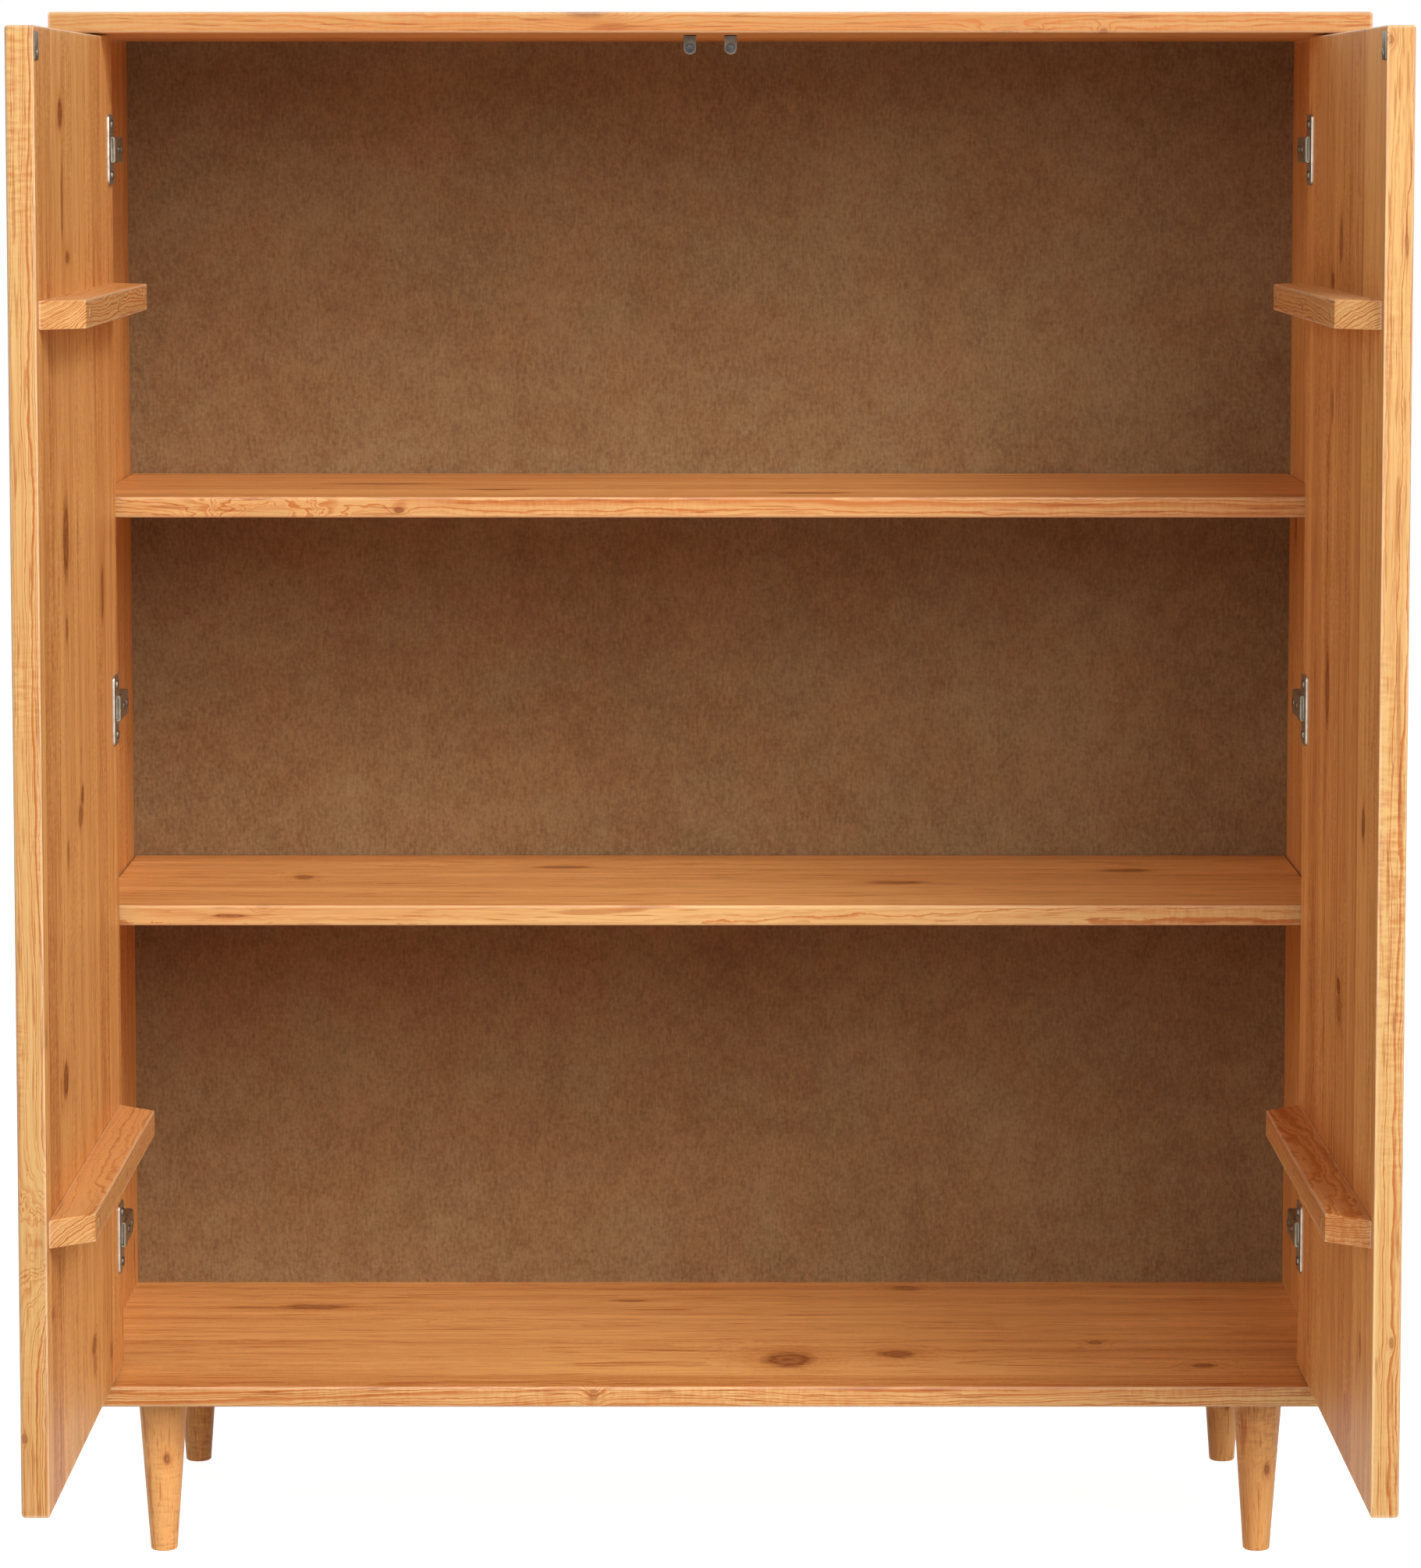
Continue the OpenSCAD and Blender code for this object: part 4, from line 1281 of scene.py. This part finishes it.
@dataclass
class Door:
    """One door: its panel, cleats with plugged screws, and its strike plate."""

    kit: Kit
    side: Side
    cleat_bevel: float = 0.025
    cleat_ease: float = 0.0009
    screw_span: float = 0.178
    plug_dia: float = 0.008
    plug_rise: float = 0.0004
    face_x: float = 0.4708
    free_edge_y: float = -0.4
    strike_corner: float = 0.001
    strike_ease: float = 0.0002
    strike_screw: Screw = Screw(0.003, 0.0055, 0.0012, 0.013)

    @property
    def body(self) -> str:
        """The body that the door's pieces ride on."""
        return f"{self.side.label}_door"

    def build(self) -> None:
        """Dresses the panel and models what is on it."""
        node = f"{self.side.label}_door_panel"
        seed = 83.4 if self.side is Side.LEFT else 97.9
        self.kit.dress(node, self.kit.timber(node, PINE, Grain.UPRIGHT, seed, self.knots()))
        self.kit.dress(f"{self.side.label}_cleat_screws", self.kit.zinc)
        plugs = []
        for index, level in enumerate(("upper", "lower")):
            plugs += self.cleat(level, 7.5 + 2 * index + self.side.value)
        self.plugs(plugs)
        self.strike()

    def knots(self) -> list[Knot]:
        """Places the knots that show on the inner face and on the free edge.

        Returns:
            The knots.
        """
        front, edge_y, x = self.kit.front, self.free_edge_y, self.side.value * self.face_x
        if self.side is Side.LEFT:
            rows = [
                (-0.257, 1.120, 0.015, 0.016, 1.00, 0.003), (-0.250, 1.058, 0.036, 0.007, 0.78, 0),
                (-0.222, 1.018, 0.006, 0.014, 0.78, 0.006), (-0.247, 0.818, 0.036, 0.021, 0.98, 0.003),
                (-0.021, 0.760, 0.026, 0.011, 0.78, 0), (-0.247, 0.753, 0.012, 0.009, 0.78, 0),
                (-0.162, 0.623, 0.009, 0.009, 1.00, 0.002), (-0.174, 0.608, 0.010, 0.018, 0.72, 0.006),
                (-0.252, 0.590, 0.013, 0.007, 0.78, 0), (-0.391, 0.480, 0.010, 0.004, 0.60, 0),
                (-0.280, 0.431, 0.016, 0.018, 0.98, 0.005), (-0.123, 0.203, 0.010, 0.018, 0.91, 0.005),
                (-0.120, 0.188, 0.010, 0.014, 0.59, 0.004), (-0.369, 0.282, 0.006, 0.007, 0.78, 0),
                (-0.011, 0.173, 0.007, 0.011, 0.78, 0.003),
            ]
            edge = [Knot(-0.458, edge_y, 0.338, 0.024, 0.03, 0.013, 0.25, 0.03),
                    Knot(-0.478, edge_y, 0.2, 0.004, 0.012, 0.003, 0.7, 0.003)]
        else:
            rows = [
                (-0.147, 1.027, 0.020, 0.011, 0.78, 0.003), (-0.098, 0.998, 0.008, 0.011, 1.00, 0.003),
                (-0.103, 0.905, 0.016, 0.009, 0.72, 0), (-0.088, 0.693, 0.034, 0.014, 0.85, 0.002),
                (-0.325, 0.950, 0.030, 0.007, 0.52, 0), (-0.316, 0.621, 0.015, 0.011, 0.98, 0.002),
                (-0.179, 0.483, 0.008, 0.014, 1.00, 0.005), (-0.182, 0.467, 0.013, 0.018, 0.65, 0.004),
                (-0.330, 0.250, 0.012, 0.009, 0.65, 0.003), (-0.060, 0.3, 0.014, 0.011, 0.65, 0.003),
            ]
            edge = [Knot(0.463, edge_y, 1.17, 0.004, 0.012, 0.003, 0.6, 0.005),
                    Knot(0.476, edge_y, 1.031, 0.011, 0.006, 0.0013, 0.8),
                    Knot(0.473, edge_y, 0.494, 0.009, 0.006, 0.001, 0.7),
                    Knot(0.474, edge_y, 0.268, 0.005, 0.01, 0.002, 0.7, 0.003)]
        faces = [Knot(x, front + y, z, along, across, dark=dark, push=push)
                 for y, z, along, across, dark, push in rows]
        return faces + edge

    def cleat(self, level: str, seed: float) -> list[Matrix]:
        """Models one cleat with bevelled ends and eased edges.

        Args:
            level: Upper or lower.
            seed: Picks its grain.

        Returns:
            Where its plugs sit, each with Z pointing away from the door.
        """
        node = f"{self.side.label}_{level}_cleat"
        low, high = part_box(node)
        middle = middle_of(node)
        out = low.x if self.side is Side.RIGHT else high.x
        s = Shaper()
        for vert in s.block(low, high):
            if abs(vert.co.x - out) < NEAR:
                vert.co.y += self.cleat_bevel * (1 if vert.co.y < middle.y else -1)
        s.ease(s.bm.edges, self.cleat_ease, 4)
        timber = self.kit.timber(node, CLEAT_PINE, Grain.ALONG_Y, seed)
        made = s.piece(f"{self.side.label}_{level}_cleat_bar", timber)
        made.modifiers.new("even_shading", "WEIGHTED_NORMAL").keep_sharp = True
        self.kit.stand_in(made, node, self.body, "cleat_wood")
        return [at(out, middle.y + shift, middle.z) @ self.side.inwards
                for shift in (-self.screw_span, 0.0, self.screw_span)]

    def plugs(self, places: Sequence[Matrix]) -> None:
        """Models the plugs over the cleat screws, just proud of the cleats.

        Args:
            places: Where they sit.
        """
        node = f"{self.side.label}_cleat_plugs"
        low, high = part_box(node)
        s = Shaper()
        s.rod(self.plug_dia / 2, low.x - high.x, self.plug_rise, 32)
        s.ease([e for e in s.sharp(1.2) if min(v.co.z for v in e.verts) > 0],
               self.plug_rise * 0.8)
        timber = self.kit.timber(node, PLUG_PINE, Grain.ALONG_X, 2.0)
        made = s.stamp(places).piece(f"{self.side.label}_cleat_plug_set", timber)
        self.kit.stand_in(made, node, self.body, "plug_wood")

    def strike(self) -> None:
        """Models the strike plate and its screw."""
        node = f"{self.side.label}_strike_plate"
        low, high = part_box(node)
        s = Shaper()
        s.block(low, high)
        s.ease([e for e in s.bm.edges if abs(e.verts[0].co.x - e.verts[1].co.x) > NEAR],
               self.strike_corner, 4)
        s.ease(s.sharp(), self.strike_ease, 2)
        plate = s.piece(f"{self.side.label}_strike_leaf", self.kit.steel)
        self.kit.stand_in(plate, node, self.body, "strike_steel")
        node = f"{self.side.label}_strike_screw"
        _, y, z = middle_of(node)
        place = at(low.x if self.side is Side.RIGHT else high.x, y, z) @ self.side.inwards
        self.kit.screws(self.strike_screw, [place], f"{node}_head", node, self.body,
                        self.kit.steel)


@dataclass
class Hinges:
    """The three hinges of one door: cups, pins, arms, mounting plates and screws."""

    kit: Kit
    side: Side
    pin_depth: float = 0.0088
    flange: Point = (0.0307, 0.0015, 0.054)
    flange_start: float = -0.0059
    corner: float = 0.004
    well_low: float = -0.0031
    well_high: float = 0.0128
    well_half: float = 0.0105
    well_floor: float = -0.0031
    wall: float = 0.001
    cup_screw_pitch: float = 0.039
    arm_out: float = 0.0123
    arm_half: float = 0.01
    arm_eye: float = 0.0026
    arm_back: float = -0.0099
    arm_end: float = 0.052
    channel: float = 0.0129
    base_start: float = 0.018
    sheet: float = 0.0015
    rim_ease: float = 0.0003
    front_adjuster: float = 0.021
    rear_adjuster: float = 0.043
    smooth: float = 30.0
    screw: Screw = Screw(0.004, 0.007, 0.0016, 0.0135)
    adjuster: Screw = Screw(0.004, 0.0062, 0.0011, 0.004)

    def build(self) -> None:
        """Models the cups, arms and screws and dresses the rest."""
        word = self.side.label
        joint = next(j for j in self.kit.frame["joints"] if j["name"] == f"{word}_door_swing")
        x, y, _ = joint["pos_m"]
        pin_frame = Matrix.Diagonal((-self.side.value, 1.0, 1.0, 1.0)) @ at(-abs(x), y, 0.0)
        door_frame = pin_frame @ turned("Z", -1)
        heads, feet = [], []
        for level in HINGE_LEVELS:
            node = f"{word}_{level}_hinge"
            lift = at(0.0, 0.0, middle_of(f"{node}_cup").z)
            cup = self.cup().stamp([door_frame @ lift])
            made = cup.piece(f"{node}_plate", self.kit.nickel, self.smooth)
            self.kit.stand_in(made, f"{node}_cup", f"{word}_door", "hinge_steel")
            arm = self.arm().stamp([pin_frame @ lift])
            made = arm.piece(f"{node}_strap", self.kit.bracket, self.smooth)
            self.kit.stand_in(made, f"{node}_arm", "carcass", "hinge_steel")
            self.kit.dress(f"{node}_base", self.kit.bracket)
            heads += [door_frame @ lift @ self._cup_screw(sign) for sign in (-1, 1)]
            feet.append(pin_frame @ lift)
        self.kit.dress(f"{word}_hinge_pins", self.kit.zinc)
        self.kit.screws(self.screw, heads, f"{word}_cup_screw_set", f"{word}_cup_screws",
                        f"{word}_door", self.kit.steel)
        self.adjusters(feet)

    def _cup_screw(self, sign: int) -> Matrix:
        """Gives the place of one screw of the flange, in the door's frame."""
        x, y = self.flange_start + self.flange[0] / 2, self.pin_depth + self.flange[1]
        return at(x, y, sign * self.cup_screw_pitch / 2) @ turned("X", -1)

    def cup(self) -> Shaper:
        """Models a flange with its well, X along the door and Y out of its inner face.

        Returns:
            The shaper that holds it.
        """
        s = Shaper()
        length, thick, height = self.flange
        back, front = self.pin_depth, self.pin_depth + thick
        s.block((self.flange_start, back, -height / 2),
                (self.flange_start + length, front, height / 2))
        upright = [e for e in s.bm.edges if abs(e.verts[0].co.y - e.verts[1].co.y) > NEAR]
        s.ease(upright, self.corner, 8)
        s.cut(0, self.well_low - self.wall, self.well_low, self.well_high,
              self.well_high + self.wall)
        outer = self.well_half + self.wall
        s.cut(2, -outer, -self.well_half, self.well_half, outer)

        def inside(level: float, margin: float) -> list[BMFace]:
            """Gives the faces at a level that lie within the well and a margin."""
            centres = {f: f.calc_center_median() for f in s.bm.faces}
            return [f for f, c in centres.items()
                    if abs(c.y - level) < NEAR and abs(c.z) < self.well_half + margin
                    and self.well_low - margin < c.x < self.well_high + margin]

        s.pull(inside(back, self.wall), (0.0, self.well_floor - self.wall - back, 0.0))
        s.pull(inside(front, 0.0), (0.0, self.well_floor - front, 0.0))
        deep = [e for e in s.bm.edges
                if abs(e.verts[0].co.y - e.verts[1].co.y) > self.well_half * 0.9]
        s.ease(deep, self.wall * 0.9, 4)
        rim = [e for e in s.sharp(1.2) if all(abs(v.co.y - front) < NEAR for v in e.verts)]
        s.ease(rim, self.rim_ease, 2)
        return s

    def arm(self) -> Shaper:
        """Models a bent arm, X away from the side panel and Y to the back, the pin at 0.

        Returns:
            The shaper that holds it.
        """
        s = Shaper()
        out, eye, half, end = self.arm_out, self.arm_eye, self.arm_half, self.arm_end
        s.sheet((out, -eye, -half), (out, end, -half), (out, end, half), (out, -eye, half))
        s.cut(1, eye, self.channel)
        cheeks = [e for e in s.bm.edges if abs(e.verts[0].co.z - e.verts[1].co.z) < NEAR
                  and not eye < (e.verts[0].co.y + e.verts[1].co.y) / 2 < self.channel]
        fresh = s.extend(cheeks, (-out, 0.0, 0.0))
        neck = [v for v in fresh if v.co.y < eye * 1.1]
        for vert in neck:
            vert.co.x = -eye
        feet = set(fresh).difference(neck)
        for vert in s.extend(e for e in s.bm.edges if feet.issuperset(e.verts)):
            vert.co.x = self.arm_back
            vert.co.y = max(vert.co.y, self.base_start)
        s.ease(neck, eye * 0.98, 8)
        s.ease(s.sharp(1.0), self.sheet * 1.3, 5)
        bmesh.ops.recalc_face_normals(s.bm, faces=s.bm.faces)
        if max(s.bm.faces, key=lambda f: f.calc_area()).normal.x < 0:
            bmesh.ops.reverse_faces(s.bm, faces=s.bm.faces)
        s.thicken(self.sheet)
        return s

    def adjusters(self, feet: Sequence[Matrix]) -> None:
        """Models the adjusting screws on the arms as one piece of detail.

        Args:
            feet: The places of the arms.
        """
        places = [foot @ at(self.arm_out, y, 0.0) @ turned("Y", 1) for foot in feet
                  for y in (self.front_adjuster, self.rear_adjuster)]
        name = f"{self.side.label}_hinge_adjusters"
        made = self.adjuster.shape().stamp(places).piece(name, self.kit.steel)
        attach(made, "carcass")
        LOG.info("%s added", made.name)


@dataclass
class MountingScrews:
    """The screws that hold the mounting plates on both side panels, and the arms' rivets."""

    kit: Kit
    screw: Screw = Screw(0.004, 0.007, 0.0016, 0.0145)
    pitch: float = 0.032
    plate: float = 0.0025

    def build(self) -> None:
        """Models the screws and dresses the rivets."""
        places = []
        for side in Side:
            for level in HINGE_LEVELS:
                node = f"{side.label}_{level}_hinge_base"
                low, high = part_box(node)
                wall = high.x if side is Side.RIGHT else low.x
                _, y, z = middle_of(node)
                places += [at(wall - side.value * self.plate, y, z + sign * self.pitch / 2)
                           @ side.inwards for sign in (-1, 1)]
        self.kit.screws(self.screw, places, "hinge_base_screw_set", "hinge_base_screws")
        self.kit.dress("hinge_arm_rivets", self.kit.zinc)


# The studio


@dataclass(frozen=True)
class Lamp:
    """A soft square lamp that faces a point."""

    name: str
    place: Point
    target: Point
    size: float
    watts: float
    tint: Colour = (1.0, 1.0, 1.0)

    def build(self) -> None:
        """Makes the lamp."""
        light = bpy.data.lights.new(self.name, "AREA")
        light.size, light.energy, light.color = self.size, self.watts, self.tint
        lamp = bpy.data.objects.new(self.name, light)
        lamp.location = self.place
        aim = Vector(self.target) - Vector(self.place)
        lamp.rotation_euler = aim.to_track_quat("-Z", "Y").to_euler()
        bpy.context.scene.collection.objects.link(lamp)


@dataclass
class Studio:
    """The pale floor, the light and the camera."""

    floor_half: float = 9.0
    floor_shade: Colour = (0.66, 0.66, 0.66)
    floor_lift: float = 0.88
    floor_fade: tuple[float, float] = (0.9, 2.2)
    ambient: float = 0.02
    camera_place: Point = (0.0002, -4.0771, 1.1064)
    camera_pitch: float = 5.087
    camera_lens: float = 123.27
    camera_shift: float = -0.11

    def build(self) -> None:
        """Makes the camera, the floor, the lamps and the world."""
        self.camera()
        self.floor()
        for lamp in (
            Lamp("key_lamp", (2.9, -4.2, 4.6), (0.0, 0.0, 0.6), 1.8, 138.0),
            Lamp("soft_lamp", (2.2, -4.6, 3.4), (0.0, 0.0, 0.6), 4.0, 205.0),
            Lamp("front_lamp", (0.0, -4.8, 3.6), (0.0, 0.0, 0.6), 4.4, 82.0),
            Lamp("fill_lamp", (-3.4, -4.0, 2.5), (0.0, 0.0, 0.5), 2.4, 60.0),
            Lamp("back_lamp", (-1.4, 4.6, 3.8), (0.0, 0.0, 0.6), 3.6, 90.0),
        ):
            lamp.build()
        self.world()
        bpy.context.scene.view_settings.view_transform = "Standard"

    def camera(self) -> None:
        """Makes the camera at the photograph's viewing angle."""
        data = bpy.data.cameras.new("camera")
        data.lens, data.shift_y = self.camera_lens, self.camera_shift
        camera = bpy.data.objects.new("camera", data)
        camera.location = self.camera_place
        camera.rotation_euler = (math.radians(90 - self.camera_pitch), 0.0, 0.0)
        bpy.context.scene.collection.objects.link(camera)
        bpy.context.scene.camera = camera

    def floor(self) -> None:
        """Makes the floor, which the camera and mirrors see near white with its shadows."""
        s = Shaper()
        bmesh.ops.create_grid(s.bm, x_segments=1, y_segments=1, size=self.floor_half)
        material = bpy.data.materials.new("studio_floor")
        material.use_nodes = True
        material.node_tree.nodes.clear()
        graph = Graph(material.node_tree)
        matt = graph.add("BsdfDiffuse", {"Color": self.floor_shade})
        reach = graph.vector("LENGTH", graph.add("TexCoord").outputs["Object"])
        lift = graph.span(reach, *self.floor_fade, (self.floor_lift, 1.0))
        glow = graph.add("Emission", {"Color": (1.0, 1.0, 1.0), "Strength": lift})
        seen = graph.add("AddShader", {0: matt.outputs[0], 1: glow.outputs[0]})
        mix = graph.add("MixShader", {0: self.sees_backdrop(graph), 1: matt.outputs[0],
                                      2: seen.outputs[0]})
        graph.add("OutputMaterial", {"Surface": mix.outputs[0]})
        s.piece("studio_floor", material)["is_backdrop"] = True

    @staticmethod
    def sees_backdrop(graph: Graph) -> NodeSocket:
        """Tells the rays that see the backdrop from those that light the object.

        Args:
            graph: The graph that asks.

        Returns:
            1 for rays from the camera, from mirrors and through glass.
        """
        path = graph.add("LightPath")
        total = graph.plus(path.outputs["Is Camera Ray"], path.outputs["Is Glossy Ray"])
        return graph.plus(total, path.outputs["Is Transmission Ray"], clamp=True)

    def world(self) -> None:
        """Makes the world: soft light all round, and white where it is seen."""
        world = bpy.data.worlds.new("studio")
        world.use_nodes = True
        world.node_tree.nodes.clear()
        graph = Graph(world.node_tree)
        strength = graph.add("MapRange", {0: self.sees_backdrop(graph), 3: self.ambient, 4: 1.0})
        glow = graph.add("Background", {"Color": (1.0, 1.0, 1.0), "Strength": strength.outputs[0]})
        graph.add("OutputWorld", {"Surface": glow.outputs[0]})
        bpy.context.scene.world = world


def corners() -> list[list[float]]:
    """Gives the lowest and highest corner of what is shown, as plain lists."""
    return [list(corner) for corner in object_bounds()]


def main() -> None:
    """Builds the highboard round its frame, piece by piece."""
    logging.basicConfig(level=logging.INFO, format="%(name)s: %(message)s")
    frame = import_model()
    effects = Effects.build()
    kit = Kit(
        frame=frame,
        effects=effects,
        nickel=NICKEL.material(effects),
        bracket=BRACKET.material(effects),
        zinc=ZINC.material(effects),
        steel=STEEL.material(effects),
        magnet=MAGNET.material(effects),
        front=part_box("top_board")[0].y,
    )
    Studio().build()
    Carcass(kit).build()
    Legs(kit).build()
    Catches(kit).build()
    for side in Side:
        Door(kit, side).build()
        Hinges(kit, side).build()
    MountingScrews(kit).build()


if __name__ == "__main__":
    main()
